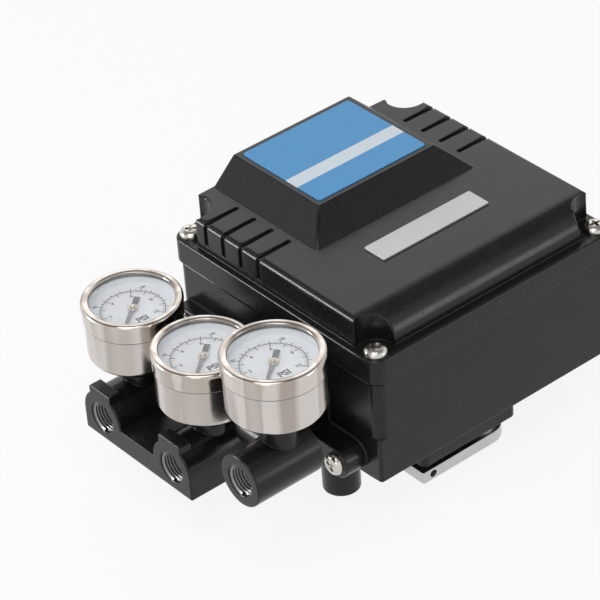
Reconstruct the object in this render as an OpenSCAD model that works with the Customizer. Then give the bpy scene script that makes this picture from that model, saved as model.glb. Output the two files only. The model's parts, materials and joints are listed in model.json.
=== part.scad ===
// Pneumatic valve positioner with three pressure gauges, lying on its mounting feet, cover up.
// Millimetres. The origin is on the foot plane under the middle of the housing, with +Z out of the cover.
// The ports and gauges stand on the -X side, and the feedback shaft leaves the underside near the -Y edge.

/* [Housing] */
// Height of the four mounting feet under the housing
foot_h = 25.5; // [20:0.5:40]
// Diameter of a mounting foot
foot_d = 16; // [14:0.5:20]
// Distance from the housing's end to the feet along X
foot_in_x = 8; // [8:0.5:20]
// Distance between the feet along Y
foot_pitch_y = 53; // [45:1:80]
// Diameter of the tapped hole in each foot
foot_hole_d = 8; // [5:0.5:10]
// Width of the housing along X
body_w = 128; // [126:1:150]
// Depth of the housing along Y
body_d = 124.4; // [122:1:145]
// Height of the housing from its floor to the rim
body_h = 47.3; // [46:0.5:60]
// Thickness of the housing walls
wall = 3.5; // [3:0.1:4.5]
// Thickness of the housing floor
floor_t = 4; // [3:0.5:5]
// Corner radius of the upper housing, round the cover screws
body_r = 5; // [3:0.5:6]
// Corner radius of the lower housing
base_r = 1.5; // [0.5:0.5:4]
// Height of the lower housing, below the round corners
base_h = 21; // [10:1:30]

/* [Cover] */
// Overhang of the cover flange past the housing wall
flange_over = 1.4; // [0.5:0.1:3]
// Height of the cover flange
flange_h = 11.5; // [9:0.5:16]
// Thickness of the cover gasket
gasket_t = 1; // [0.5:0.1:2]
// Distance of the cover screws from the flange edges
screw_inset = 6.2; // [6:0.1:8]
// Height of the dome above the flange
dome_h = 13.6; // [10:0.1:18]
// Ledge between the flange edge and the dome on the X sides
side_ledge = 2.8; // [2:0.1:5]
// Ledge between the flange edge and the dome at the front
front_ledge = 4.9; // [3:0.1:8]
// Ledge between the flange edge and the dome at the back
back_ledge = 1.8; // [1:0.1:4]
// Radius of the round front edge of the dome
front_r = 13; // [6:0.5:13.5]
// Radius of the scoop in the dome round each cover screw
scoop_r = 9; // [7:0.5:11]
// Wall thickness of the cover
cover_t = 3; // [2.5:0.1:4]
// Number of grooves on each side of the dome
groove_n = 4; // [2:1:5]
// Distance between the grooves
groove_pitch = 11.1; // [8:0.1:12]
// Width of a groove
groove_w = 2.2; // [1.5:0.1:3]
// Depth of a groove
groove_t = 1.3; // [0.8:0.1:1.6]
// Length of a groove on top of the dome
groove_l = 15.5; // [10:0.5:16]

/* [Label block] */
// Width of the label block at its foot
block_w = 85.4; // [70:0.2:90]
// Depth of the label block at its foot
block_d = 66; // [55:0.5:72]
// Height of the label block
block_h = 10.8; // [8:0.1:14]
// Run of the sloping sides of the label block
block_run = 10.7; // [6:0.1:12]
// Width of the label
label_w = 57.6; // [40:0.2:60]
// Depth of the label
label_d = 49; // [30:0.5:50]
// Thickness of the label and of the name plate
label_t = 0.8; // [0.6:0.1:1.2]
// Width of the name plate
plate_w = 56.6; // [40:0.2:70]
// Depth of the name plate
plate_d = 12; // [8:0.5:14]
// Gap between the name plate and the label block
plate_gap = 12; // [6:0.5:14]

/* [Gauges] */
// Outer diameter of a gauge bezel
gauge_d = 42; // [38:0.5:43]
// Height of a gauge from its case bottom to its bezel
gauge_h = 26.5; // [24:0.5:32]
// Height of the bezel ring
bezel_h = 8.5; // [8:0.5:12]
// Diameter of the view through the bezel
view_d = 36.6; // [34:0.2:37]
// Distance between the gauges
gauge_pitch = 45.4; // [45:0.1:50]
// Gauge axes from the housing wall
gauge_reach = 37.6; // [30:0.2:50]
// Place of the middle gauge along Y
gauge_y = -2.2; // [-4:0.1:-1]
// Height of the black boss that a gauge screws into, above its port boss
gauge_boss_h = 3; // [2:0.5:6]
// Visible stem of the lower gauges
stem_low = 8.4; // [7:0.1:14]
// Visible stem of the upper gauge
stem_high = 8; // [7:0.1:14]
// Height of the black boss of the upper gauge, above its port boss
gauge_boss_high_h = 6; // [2:0.5:8]
// Sweep of a pointer over its scale, in degrees
sweep = 270; // [180:5:300]
// Turn of each gauge on its thread, clockwise from above
gauge_turn = 6.5; // [0:0.5:20]

/* [Ports] */
// Port faces from the gauge axes
port_reach = 21; // [16:0.5:26]
// Height of the two lower ports above the housing floor
port_low_z = 7.1; // [5:0.1:10]
// Height of the upper port above the housing floor
port_high_z = 26.3; // [24:0.1:30]
// Outer radius of the lower port bosses
port_low_r = 12; // [10.5:0.1:13]
// Outer radius of the upper port boss
port_high_r = 11.4; // [10:0.1:13]
// Length of the upper port boss
port_high_l = 33; // [28:0.5:40]
// Radius of the bent arm that carries the upper port
arm_pipe_r = 7.5; // [6.5:0.1:8]
// Distance along Y from the upper port to its passage in the wall
signal_jog = 22; // [20:0.5:24]
// Diameter of the threaded port holes
port_d = 13.4; // [10:0.1:15]
// Depth of the threaded port holes
port_depth = 14; // [10:0.5:16]
// Diameter of the air passages behind the ports
passage_d = 5; // [3:0.5:6]
// Depth of the block base below the axes of the lower ports
block_base = 10.6; // [9:0.1:12]
// Radius of the screw lugs on the upper port
lug_r = 6.7; // [6:0.1:8]
// Length of the screw lugs
lug_l = 10; // [8:0.5:14]

/* [Feedback] */
// Place of the feedback shaft along X
shaft_x = -2; // [-4:0.5:0]
// Place of the feedback shaft from the front wall
shaft_in = 12.2; // [12:0.1:16]
// Diameter of the feedback shaft
shaft_d = 8; // [6:0.5:9]
// Radial clearance of a turning fit
fit = 0.05; // [0.02:0.01:0.09]
// Height of the pad under the floor that carries the shaft
pad_h = 7.5; // [5:0.5:9]
// Length of the pad
pad_l = 51; // [40:1:60]
// Width of the pad and of the feedback lever
lever_w = 20; // [16:0.5:22]
// Reach of the feedback lever from the shaft to its square end
lever_l = 38.5; // [34:0.5:42]
// Distance of the pin hole from the square end
lever_hole_in = 8.5; // [7:0.1:10]
// Thickness of the feedback lever
lever_t = 5.5; // [4:0.1:7]
// Diameter of the pin hole in the feedback lever
lever_hole_d = 6; // [4:0.1:8]
// Length of the feedback arm inside the housing
arm_l = 28; // [24:0.5:30]

/* [Mechanism] */
// Height of the mechanism plate above the housing floor
plate_up = 7.5; // [7:0.1:9]
// Thickness of the mechanism plate
plate_t = 2; // [1.5:0.1:3]
// Distance of the balance beam from the pad inside the port wall
beam_in = 21.5; // [19:0.5:23]
// Place of the beam pivot along Y
pivot_y = 8; // [4:0.5:12]
// Length of the beam behind its pivot, to the bellows
beam_back = 24; // [20:0.5:26]
// Diameter of the beam pivot pin
pivot_d = 4; // [3:0.1:5]
// Outer radius of the signal bellows
bellows_r = 8; // [6:0.5:9]
// Length of the pilot valve body
pilot_l = 50; // [40:1:56]
// Width and height of the pilot valve body
pilot_w = 24; // [20:0.5:26]
// Diameter of the pilot valve spool
spool_d = 10; // [6:0.5:12]
// Outer diameter of the inner tubes
tube_d = 4; // [3:0.1:4.5]

/* [Hidden] */
$fn = 48;

// Heights of the housing and the cover
floor_z = foot_h + floor_t;
rim_z = foot_h + body_h;
skirt_z = rim_z + gasket_t;
flange_z = skirt_z + flange_h;
plateau_z = flange_z + dome_h;
block_z = plateau_z + block_h;

// Plan sizes of the cover
flange_w = body_w + 2 * flange_over;
flange_d = body_d + 2 * flange_over;
flange_r = screw_inset;
screw_x = flange_w / 2 - screw_inset;
screw_y = flange_d / 2 - screw_inset;
dome_w = flange_w - 2 * side_ledge;
dome_front = -flange_d / 2 + front_ledge;
dome_back = flange_d / 2 - back_ledge;
edge_r = 2.5;
block_front = dome_back - block_d;
block_top_d = block_d - block_run;
block_top_mid = dome_back - block_top_d / 2;
first_groove_y = 9.2;

// Cover screws and the smaller machine screws
m5_head_r = 4.75;
m5_head_h = 3.2;
m5_r = 2.4;
m5_tap_r = 2.5;
m5_clear_r = 2.8;
m4_head_r = 3.5;
m4_head_h = 2.4;
m4_r = 1.9;
m4_tap_r = 2;
m4_clear_r = 2.2;
screw_grip = 10;
screw_pit = 1.5;

// Places of the gauges and the ports
wall_x = -body_w / 2;
joint_x = wall_x - gasket_t;
gauge_x = wall_x - gauge_reach;
face_x = gauge_x - port_reach;
flange_t = 6;
low_z = foot_h + port_low_z;
high_z = foot_h + port_high_z;
gauge_row = [gauge_y + gauge_pitch, gauge_y, gauge_y - gauge_pitch];
port_zs = [low_z, low_z, high_z];
port_rs = [port_low_r, port_low_r, port_high_r];
stems = [stem_low, stem_low, stem_high];
boss_hs = [gauge_boss_h, gauge_boss_h, gauge_boss_high_h];
function boss_top(i) = port_zs[i] + port_rs[i] + boss_hs[i];
function case_z(i) = boss_top(i) + stems[i];
function glass_z(i) = case_z(i) + gauge_h;
gauge_boss_r = 7.5;
socket_r = 4.8;
socket_hole_r = 4.9;
socket_depth = 7;
block_flange_down = 5;
block_flange_up = 24;
block_screw_up = 18;
block_screw_mid_up = 11.5;
block_screw_out = 7;
block_screw_edge = 6;
block_flange_z = [low_z - block_flange_down, low_z + block_flange_up];
block_screws = [[gauge_row[1] - block_screw_out, low_z + block_screw_up],
    [(gauge_row[0] + gauge_row[1]) / 2, low_z + block_screw_mid_up],
    [gauge_row[0] + block_screw_out, low_z + block_screw_up]];
screw_bite = 7;
mark_l = 6;
mark_w = 13.4;
mark_up = 1.7;
lug_drop = port_high_r + lug_r - 0.4;
signal_y = gauge_row[2] + signal_jog;
elbow_x = face_x + port_high_l - arm_pipe_r;
signal_lugs = [[gauge_row[2], high_z - lug_drop], [signal_y, high_z - lug_drop]];
passage_ys = [gauge_row[0], gauge_row[1], signal_y];
wall_pad_t = 6;
inner_x = wall_x + wall + wall_pad_t;

// Gauge inner sizes
case_r = gauge_d / 2 - 0.9;
case_wall = 1;
dial_step = 0.8;
glass_t = 2;
lip_t = 1.2;
dial_t = 0.8;
dial_down = 7.2;
needle_down = 5.5;
needle_t = 0.6;
arbor_r = 1.1;
arbor_l = 5;

// Feedback shaft and lever
shaft_y = -body_d / 2 + shaft_in;
shaft_r = shaft_d / 2;
bush_r = shaft_r + 1.6;
bush_flange_r = bush_r + 1.6;
bush_flange_t = 1.3;
shaft_boss_h = 3;
pad_z = foot_h - pad_h;
pad_past = 3;
pad_r = 3;
lever_r = 1;
play = 0.3;
washer_t = 1.7;
side_hole_in = 5.5;
side_hole_r = 1.6;
lever_top = pad_z - play - washer_t;
lever_bottom = lever_top - lever_t;
thread_r = shaft_r - 1;
nut_h = 4.5;
bush_top = floor_z + shaft_boss_h + bush_flange_t;
plate_z = floor_z + plate_up;
plate_top = plate_z + plate_t;
arm_z = bush_top + play;
arm_hub_r = shaft_r + 3;
arm_t = 4;
arm_w = 8;
arm_bar_z = plate_top + 1;
arm_top = arm_bar_z + arm_t + 1;
arm_screw_z = arm_z + 3;
arm_tip_y = shaft_y + arm_l;
spring_z = arm_top + 8;
post_r = 1.5;

// Pilot valve, against the far side of the housing
pilot_side = 5;
pilot_x = body_w / 2 - wall - pilot_side - pilot_w / 2;
pilot_z = floor_z + pilot_w / 2;
cap_t = 3;
spool_l = pilot_l - 2 * cap_t;
tube_r = tube_d / 2;
tube_turn = 4;
output_turn_x = pilot_x - pilot_w / 2 - tube_turn;
output_y = 15;

// Mechanism plate and what stands on it, between the port wall and the pilot valve
beam_x = inner_x + beam_in;
plate_in = 4.5;
plate_gap_x = 0.5;
plate_front = 40;
plate_rear = 36;
post_in = 4.6;
post_rear_in = 8;
plate_x = [inner_x + plate_in, output_turn_x - tube_r - plate_gap_x];
plate_y = [pivot_y - plate_front, pivot_y + plate_rear];
plate_posts = [for (x = [plate_x[0] + post_in, plate_x[1] - post_in],
    y = [plate_y[0] + post_in, plate_y[1] - post_rear_in]) [x, y]];
post_out_r = 4;
beam_w = 4;
beam_h = 6;
beam_z = plate_top + 6;
beam_front = pivot_y - arm_tip_y;
bellows_y = pivot_y + beam_back;
bellows_z = beam_z + beam_h / 2;
bellows_l = 24;
bellows_rod_l = 6;
bellows_x = beam_x + beam_w / 2 + play + bellows_rod_l + bellows_l;
bracket_t = 3;
nozzle_in = 20;
nozzle_y = pivot_y - nozzle_in;
nozzle_gap = 0.5;
nozzle_l = 13;
nozzle_head_l = 4;
nozzle_plate_t = 5;
nozzle_plate_w = 10;
knob_in = 13;
knob_x = plate_x[1] - knob_in;
knob_y = pivot_y;
knob_r = 7;
knob_h = 6;
stud_r = 2;

// Signal tube over the mechanism
bracket_nose = 5;
signal_rise = 11;
signal_in = 5;
signal_high = spring_z + signal_rise;
signal_in_x = inner_x + signal_in;
signal_out_x = bellows_x + bracket_t + bracket_nose + 3;

// A box with round upright corners, standing on z
module round_box(w, d, h, r) {
    translate([-w / 2 + r, -d / 2, 0]) cube([w - 2 * r, d, h]);
    translate([-w / 2, -d / 2 + r, 0]) cube([w, d - 2 * r, h]);
    for (x = [-1, 1], y = [-1, 1])
        translate([x * (w / 2 - r), y * (d / 2 - r), 0]) cylinder(r = r, h = h);
}

// A cylinder along +X that starts at a point
module rod_x(at, r, l) {
    translate(at) rotate([0, 90, 0]) cylinder(r = r, h = l);
}

// A ring lying flat
module ring(inner, outer, h) {
    difference() {
        cylinder(r = outer, h = h);
        translate([0, 0, -1]) cylinder(r = inner, h = h + 2);
    }
}

// The inner space of the housing and the cover, kept clear of the corner screw posts
module inner_space(low, high) {
    post = screw_inset + m5_tap_r + 3.5;
    w = body_w - 2 * wall;
    d = body_d - 2 * wall;
    translate([-w / 2, -body_d / 2 + post, low]) cube([w, body_d - 2 * post, high - low]);
    translate([-body_w / 2 + post, -d / 2, low]) cube([body_w - 2 * post, d, high - low]);
}

// A pan head screw with its head seat at the origin and its shank along -Z
module pan_screw(shank_r, head_r, head_h, length) {
    translate([0, 0, -length]) cylinder(r = shank_r, h = length);
    rotate_extrude() intersection() {
        square([head_r, head_h]);
        translate([0, head_h - head_r * 1.9]) circle(r = head_r * 1.9, $fn = 96);
    }
}

// The cover screw places
module at_cover_screws() {
    for (x = [-1, 1], y = [-1, 1]) translate([x * screw_x, y * screw_y, 0]) children();
}

// The mounting foot places
module at_feet() {
    for (x = [-1, 1], y = [-1, 1]) translate([x * (body_w / 2 - foot_in_x), y * foot_pitch_y / 2, 0]) children();
}

// Smooth bent tube through a list of points
module pipe(points, r) {
    for (i = [0:len(points) - 2]) {
        step = points[i + 1] - points[i];
        bend = [0, acos(step[2] / norm(step)), atan2(step[1], step[0])];
        translate(points[i]) rotate(bend) cylinder(r = r, h = norm(step));
    }
    for (i = [1:len(points) - 2]) translate(points[i]) sphere(r = r);
}

module housing() {
    color([0.13, 0.13, 0.14]) difference() {
        union() {
            translate([0, 0, foot_h]) round_box(body_w, body_d, base_h, base_r);
            translate([0, 0, foot_h + base_h]) round_box(body_w, body_d, body_h - base_h, body_r);
            at_feet() cylinder(d = foot_d, h = foot_h + floor_t / 2);
            translate([shaft_x + lever_w / 2 + pad_past - pad_l / 2, shaft_y, pad_z])
                round_box(pad_l, lever_w, pad_h + floor_t / 2, pad_r);
        }
        difference() {
            inner_space(floor_z, rim_z + 1);
            housing_inside();
        }
        housing_holes();
    }
}

// Bosses and pads that stand inside the housing
module housing_inside() {
    translate([shaft_x, shaft_y, 0]) cylinder(r = bush_flange_r + 1, h = floor_z + shaft_boss_h);
    for (p = plate_posts) translate([p[0], p[1], 0]) cylinder(r = post_out_r, h = plate_z);
    translate([wall_x, block_screws[0][0] - block_screw_edge, foot_h])
        cube([wall + wall_pad_t, block_screws[2][0] - block_screws[0][0] + 2 * block_screw_edge,
            block_flange_z[1] - foot_h]);
    translate([wall_x, gauge_row[2] - lug_r, foot_h])
        cube([wall + wall_pad_t, signal_jog + 2 * lug_r, high_z + lug_r - foot_h]);
}

module housing_holes() {
    at_feet() translate([0, 0, -1]) cylinder(d = foot_hole_d, h = foot_h - 6);
    at_cover_screws() translate([0, 0, rim_z - screw_grip - screw_pit]) cylinder(r = m5_tap_r, h = 30);
    translate([shaft_x, shaft_y, pad_z - 1]) cylinder(r = bush_r, h = bush_top);
    translate([shaft_x, shaft_y, pad_z - 1]) cylinder(r = bush_r + 1, h = 3);
    for (p = plate_posts) translate([p[0], p[1], floor_z + 1]) cylinder(r = m4_tap_r, h = plate_up + 1);
    for (i = [0:2]) rod_x([wall_x - 1, passage_ys[i], port_zs[i]], passage_d / 2, wall + wall_pad_t + 2);
    for (s = concat(block_screws, signal_lugs))
        rod_x([wall_x - 1, s[0], s[1]], m5_tap_r, wall + wall_pad_t);
}

module cover_gasket() {
    color([0.08, 0.08, 0.08]) difference() {
        translate([0, 0, rim_z]) round_box(body_w - 1, body_d - 1, gasket_t, body_r);
        inner_space(rim_z - 1, skirt_z + 1);
        at_cover_screws() translate([0, 0, rim_z - 1]) cylinder(r = m5_clear_r, h = gasket_t + 2);
    }
}

// Outline of the dome seen from the side, with the round front edge
module dome_profile() {
    top = plateau_z - flange_z;
    difference() {
        translate([dome_front, -1]) square([dome_back - dome_front, top + 1]);
        translate([dome_front - 1, top - front_r]) difference() {
            square([front_r + 1, front_r + 1]);
            translate([front_r + 1, 0]) circle(r = front_r, $fn = 96);
        }
    }
}

// Outline of the dome seen from the front, with softened upper edges
module dome_section() {
    top = plateau_z - flange_z;
    translate([-dome_w / 2, -1]) square([dome_w, top + 1 - edge_r]);
    translate([-dome_w / 2 + edge_r, 0]) square([dome_w - 2 * edge_r, top]);
    for (x = [-1, 1]) translate([x * (dome_w / 2 - edge_r), top - edge_r]) circle(r = edge_r);
}

module dome() {
    translate([0, 0, flange_z]) intersection() {
        rotate([90, 0, 90]) translate([0, 0, -dome_w / 2]) linear_extrude(dome_w) dome_profile();
        translate([0, flange_d / 2, 0]) rotate([90, 0, 0]) linear_extrude(flange_d) dome_section();
    }
}

// The block that carries the label, with three sloping sides and an upright back
module label_block() {
    soft = 1.2;
    foot = [block_w / 2 - soft, block_front + soft, dome_back - soft];
    top = [block_w / 2 - block_run - soft, block_front + block_run + soft, dome_back - soft];
    hull() for (x = [-1, 1], y = [1, 2]) {
        translate([x * foot[0], foot[y], plateau_z - 2]) cylinder(r = soft, h = 2, $fn = 32);
        translate([x * top[0], top[y], block_z - soft]) sphere(r = soft, $fn = 24);
    }
}

module grooves() {
    for (side = [-1, 1], i = [0:groove_n - 1]) {
        y = first_groove_y + i * groove_pitch;
        x = side * (dome_w / 2 - groove_l / 2);
        translate([x, y, plateau_z - groove_t]) round_box(groove_l + 4, groove_w, groove_t + 1, groove_w / 2 - 0.05);
        translate([side * (dome_w / 2 + 3 - groove_t), y, flange_z + 3])
            round_box(6, groove_w, dome_h, groove_w / 2 - 0.05);
    }
}

module cover() {
    color([0.13, 0.13, 0.14]) difference() {
        union() {
            translate([0, 0, skirt_z]) round_box(flange_w, flange_d, flange_h, flange_r);
            dome();
            label_block();
        }
        at_cover_screws() translate([0, 0, flange_z]) cylinder(r = scoop_r, h = dome_h + 1);
        at_cover_screws() translate([0, 0, skirt_z - 1]) cylinder(r = m5_clear_r, h = flange_h + 2);
        cover_space();
        grooves();
        translate([0, block_top_mid, block_z - label_t / 2]) round_box(label_w + 0.3, label_d + 0.3, 2, 1.5);
    }
}

// The hollow of the cover, kept inside the round front edge and the screw scoops
module cover_space() {
    post = screw_inset + scoop_r + cover_t;
    side = dome_w / 2 - groove_t - cover_t;
    back = dome_back - cover_t;
    front = dome_front + cover_t;
    top = plateau_z - groove_t - cover_t;
    translate([-side, -flange_d / 2 + post, skirt_z - 1]) cube([2 * side, flange_d - 2 * post, top - skirt_z + 1]);
    translate([-flange_w / 2 + post, front + front_r / 3, skirt_z - 1])
        cube([flange_w - 2 * post, back - front - front_r / 3, top - front_r / 3 - skirt_z + 1]);
}

module cover_screws() {
    color([0.75, 0.75, 0.73]) at_cover_screws() translate([0, 0, flange_z])
        pan_screw(m5_r, m5_head_r, m5_head_h, flange_h + gasket_t + screw_grip);
}

module label_plate() {
    color([0.3, 0.56, 0.83]) translate([0, block_top_mid, block_z - label_t / 2])
        round_box(label_w, label_d, label_t, 1.5);
}

module name_plate() {
    color([0.85, 0.84, 0.82]) translate([0, block_front - plate_gap - plate_d / 2, plateau_z])
        round_box(plate_w, plate_d, label_t, 0.6);
}

// Outline of the flange of the port block against the housing wall
module block_flange(x, t, grow) {
    y0 = block_screws[0][0] - block_screw_edge - grow;
    y1 = block_screws[2][0] + block_screw_edge + grow;
    translate([x - t, y0, block_flange_z[0]]) cube([t, y1 - y0, block_flange_z[1] - block_flange_z[0]]);
}

module port_block_gasket() {
    color([0.08, 0.08, 0.08]) difference() {
        block_flange(wall_x, gasket_t, 0);
        for (i = [0, 1]) rod_x([joint_x - 1, gauge_row[i], low_z], passage_d / 2, 4);
        for (s = block_screws) rod_x([joint_x - 1, s[0], s[1]], m5_clear_r, 4);
    }
}

module port_block() {
    y0 = gauge_row[1] - port_low_r;
    y1 = gauge_row[0] + port_low_r;
    base_z = low_z - block_base;
    color([0.14, 0.14, 0.15]) difference() {
        union() {
            block_flange(joint_x, flange_t, 0);
            translate([face_x, y0, base_z]) cube([joint_x - flange_t / 2 - face_x, y1 - y0, block_base - 0.2]);
            for (i = [0, 1]) {
                rod_x([face_x, gauge_row[i], low_z], port_low_r, joint_x - flange_t / 2 - face_x);
                translate([gauge_x, gauge_row[i], low_z]) cylinder(r = gauge_boss_r, h = boss_top(i) - low_z);
                translate([face_x, gauge_row[i] - mark_w / 2, low_z]) cube([mark_l, mark_w, port_low_r + mark_up]);
            }
        }
        translate([face_x - 1, y0 - 1, base_z - 5]) cube([joint_x - flange_t - face_x + 1, y1 - y0 + 2, 5]);
        for (i = [0, 1]) port_holes(i, joint_x - face_x);
        for (s = block_screws) rod_x([joint_x - flange_t - 1, s[0], s[1]], m5_clear_r, flange_t + 2);
    }
}

// The threaded port, the passage behind it and the gauge hole of one port
module port_holes(i, passage_l) {
    rod_x([face_x - 1, gauge_row[i], port_zs[i]], port_d / 2, port_depth + 1);
    rod_x([face_x + 1, gauge_row[i], port_zs[i]], passage_d / 2, passage_l);
    translate([gauge_x, gauge_row[i], boss_top(i) - socket_depth - 1]) cylinder(r = socket_hole_r, h = 20);
    translate([gauge_x, gauge_row[i], port_zs[i]]) cylinder(d = passage_d, h = port_rs[i]);
}

module port_block_screws() {
    color([0.7, 0.7, 0.7]) for (s = block_screws) translate([joint_x - flange_t, s[0], s[1]])
        rotate([0, -90, 0]) pan_screw(m5_r, m5_head_r, m5_head_h, flange_t + gasket_t + screw_bite);
}

// Outline of the upper port against the housing wall: two screw lugs in a bar, and the end of the arm over them
module signal_foot(x, l) {
    lug_z = high_z - lug_drop;
    for (s = signal_lugs) rod_x([x - l, s[0], s[1]], lug_r, l);
    translate([x - l, gauge_row[2], lug_z - lug_r]) cube([l, signal_jog, 2 * lug_r]);
    translate([x - l, signal_y - lug_r, lug_z]) cube([l, 2 * lug_r, lug_drop]);
    rod_x([x - l, signal_y, high_z], arm_pipe_r, l);
}

module signal_port_gasket() {
    color([0.08, 0.08, 0.08]) difference() {
        signal_foot(wall_x, gasket_t);
        rod_x([joint_x - 1, signal_y, high_z], passage_d / 2, 4);
        for (s = signal_lugs) rod_x([joint_x - 1, s[0], s[1]], m5_clear_r, 4);
    }
}

// Upper port: a boss with the gauge on top, and a bent arm behind it that carries the air to the wall
module signal_port() {
    color([0.14, 0.14, 0.15]) difference() {
        union() {
            rod_x([face_x, gauge_row[2], high_z], port_high_r, port_high_l);
            translate([gauge_x, gauge_row[2], high_z]) cylinder(r = gauge_boss_r, h = boss_top(2) - high_z);
            signal_arm(arm_pipe_r);
            signal_foot(joint_x, lug_l);
        }
        port_holes(2, elbow_x - face_x - 1);
        signal_arm(passage_d / 2);
        rod_x([joint_x - 2, signal_y, high_z], passage_d / 2, 4);
        for (s = signal_lugs) rod_x([joint_x - lug_l - 1, s[0], s[1]], m5_clear_r, lug_l + 2);
    }
}

// Bent arm from the upper port along Y and then to the wall
module signal_arm(r) {
    translate([elbow_x, gauge_row[2], high_z]) rotate([-90, 0, 0]) cylinder(r = r, h = signal_jog);
    translate([elbow_x, signal_y, high_z]) sphere(r = r);
    rod_x([elbow_x, signal_y, high_z], r, joint_x - elbow_x - 1);
}

module signal_port_screws() {
    color([0.75, 0.75, 0.73]) for (s = signal_lugs) translate([joint_x - lug_l, s[0], s[1]])
        rotate([0, -90, 0]) pan_screw(m5_r, m5_head_r, m5_head_h, lug_l + gasket_t + screw_bite);
}

// One gauge piece at its own axis
module at_gauge(i, z) {
    translate([gauge_x, gauge_row[i], z]) children();
}

// Threaded socket with its hexagon, and the neck that carries the movement
module gauge_socket(i) {
    hex_h = 6;
    color([0.72, 0.66, 0.5]) at_gauge(i, 0) {
        translate([0, 0, boss_top(i) - socket_depth]) cylinder(r = socket_r, h = socket_depth);
        translate([0, 0, boss_top(i)]) cylinder(r = 6.9, h = hex_h, $fn = 6);
        translate([0, 0, boss_top(i)]) cylinder(r = 5.6, h = stems[i]);
        translate([0, 0, boss_top(i)]) cylinder(r = socket_r, h = stems[i] + case_wall + 5);
    }
}

module gauge_case(i) {
    inner = case_r - case_wall;
    top = gauge_h - lip_t - glass_t;
    round_r = 3;
    color([0.82, 0.79, 0.76]) at_gauge(i, case_z(i)) difference() {
        rotate_extrude($fn = 96) {
            square([case_r - round_r, top]);
            translate([0, round_r]) square([case_r, top - round_r]);
            translate([case_r - round_r, round_r]) circle(r = round_r, $fn = 32);
        }
        translate([0, 0, gauge_h - dial_down]) cylinder(r = inner, h = gauge_h, $fn = 96);
        translate([0, 0, case_wall]) cylinder(r = inner - dial_step, h = gauge_h, $fn = 96);
        translate([0, 0, -1]) cylinder(r = socket_hole_r, h = case_wall + 2);
    }
}

// Curved pressure tube and the movement that carries the pointer arbor
module gauge_movement(i) {
    low = case_wall + 5;
    top = gauge_h - dial_down - play;
    tube_mid = case_r - 6;
    color([0.72, 0.6, 0.3]) at_gauge(i, case_z(i)) difference() {
        union() {
            translate([0, 0, low]) round_box(11, 11, top - low - 1, 2);
            translate([0, 0, top - 2]) cylinder(r = 8, h = 2);
            translate([0, 0, low + 1]) rotate([0, 0, -45]) rotate_extrude(angle = 250, $fn = 96)
                translate([tube_mid - 0.9, 0]) square([1.8, 4]);
            rotate([0, 0, -45]) translate([0, -2.5, low + 0.5]) cube([tube_mid + 1.6, 5, 5]);
        }
        translate([0, 0, top - 4]) cylinder(r = arbor_r + fit, h = 10);
    }
}

module gauge_dial(i) {
    color([0.95, 0.95, 0.94]) at_gauge(i, glass_z(i) - dial_down)
        ring(arbor_r + play, case_r - case_wall - 0.1, dial_t);
}

module gauge_window(i) {
    color([0.9, 0.95, 0.97, 0.35]) at_gauge(i, glass_z(i) - lip_t - glass_t)
        cylinder(r = case_r, h = glass_t, $fn = 96);
}

// Rolled ring that holds the window on the case
module gauge_bezel(i) {
    r = gauge_d / 2;
    soft = 1;
    color([0.84, 0.81, 0.78]) at_gauge(i, glass_z(i) - bezel_h) difference() {
        rotate_extrude($fn = 96) {
            square([r, bezel_h - soft]);
            square([r - soft, bezel_h]);
            translate([r - soft, bezel_h - soft]) circle(r = soft, $fn = 32);
        }
        translate([0, 0, -1]) cylinder(r = case_r + 0.1, h = bezel_h - lip_t + 1, $fn = 96);
        translate([0, 0, -1]) cylinder(d = view_d, h = bezel_h + 2, $fn = 96);
    }
}

// Pointer on its arbor, at zero, with a round counterweight behind the hub
module gauge_pointer(i) {
    reach = view_d / 2 - 3;
    tail = 6;
    zero = 90 + sweep / 2 - gauge_turn;
    color([0.08, 0.08, 0.09]) at_gauge(i, glass_z(i) - needle_down) {
        translate([0, 0, -arbor_l]) cylinder(r = arbor_r, h = arbor_l + needle_t);
        cylinder(r = 2.2, h = needle_t + 0.4);
        rotate([0, 0, zero]) linear_extrude(needle_t)
            polygon([[-tail, -0.7], [0, -0.9], [reach, -0.2], [reach, 0.2], [0, 0.9], [-tail, 0.7]]);
        rotate([0, 0, zero]) translate([-tail, 0, 0]) cylinder(r = 1.7, h = needle_t);
    }
}

module shaft_bush() {
    color([0.75, 0.6, 0.3]) translate([shaft_x, shaft_y, 0]) difference() {
        union() {
            translate([0, 0, pad_z + 2]) cylinder(r = bush_r, h = bush_top - pad_z - 2);
            translate([0, 0, bush_top - bush_flange_t]) cylinder(r = bush_flange_r, h = bush_flange_t);
        }
        translate([0, 0, pad_z]) cylinder(r = shaft_r + fit, h = bush_top);
    }
}

module shaft_seal() {
    color([0.07, 0.07, 0.07]) translate([shaft_x, shaft_y, pad_z]) ring(shaft_r + fit, bush_r + 1, 2);
}

module feedback_shaft() {
    color([0.7, 0.7, 0.7]) translate([shaft_x, shaft_y, 0]) {
        translate([0, 0, lever_bottom]) cylinder(r = shaft_r, h = arm_top + 2 - lever_bottom);
        translate([0, 0, lever_bottom - nut_h - 1.5]) cylinder(r = thread_r, h = nut_h + 2);
    }
}

module feedback_arm() {
    color([0.7, 0.71, 0.72]) difference() {
        union() {
            translate([shaft_x, shaft_y, arm_z]) cylinder(r = arm_hub_r, h = arm_top - arm_z);
            translate([shaft_x - arm_w / 2, shaft_y, arm_bar_z]) cube([arm_w, arm_l, arm_t]);
            translate([shaft_x, arm_tip_y, arm_bar_z]) cylinder(d = arm_w, h = arm_t);
            translate([shaft_x, arm_tip_y, arm_bar_z]) cylinder(r = post_r, h = spring_z + 2 - arm_bar_z);
        }
        translate([shaft_x, shaft_y, arm_z - 1]) cylinder(r = shaft_r + fit, h = arm_top - arm_z + 2);
        rod_x([shaft_x, shaft_y, arm_screw_z], m4_tap_r, 20);
    }
}

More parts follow.
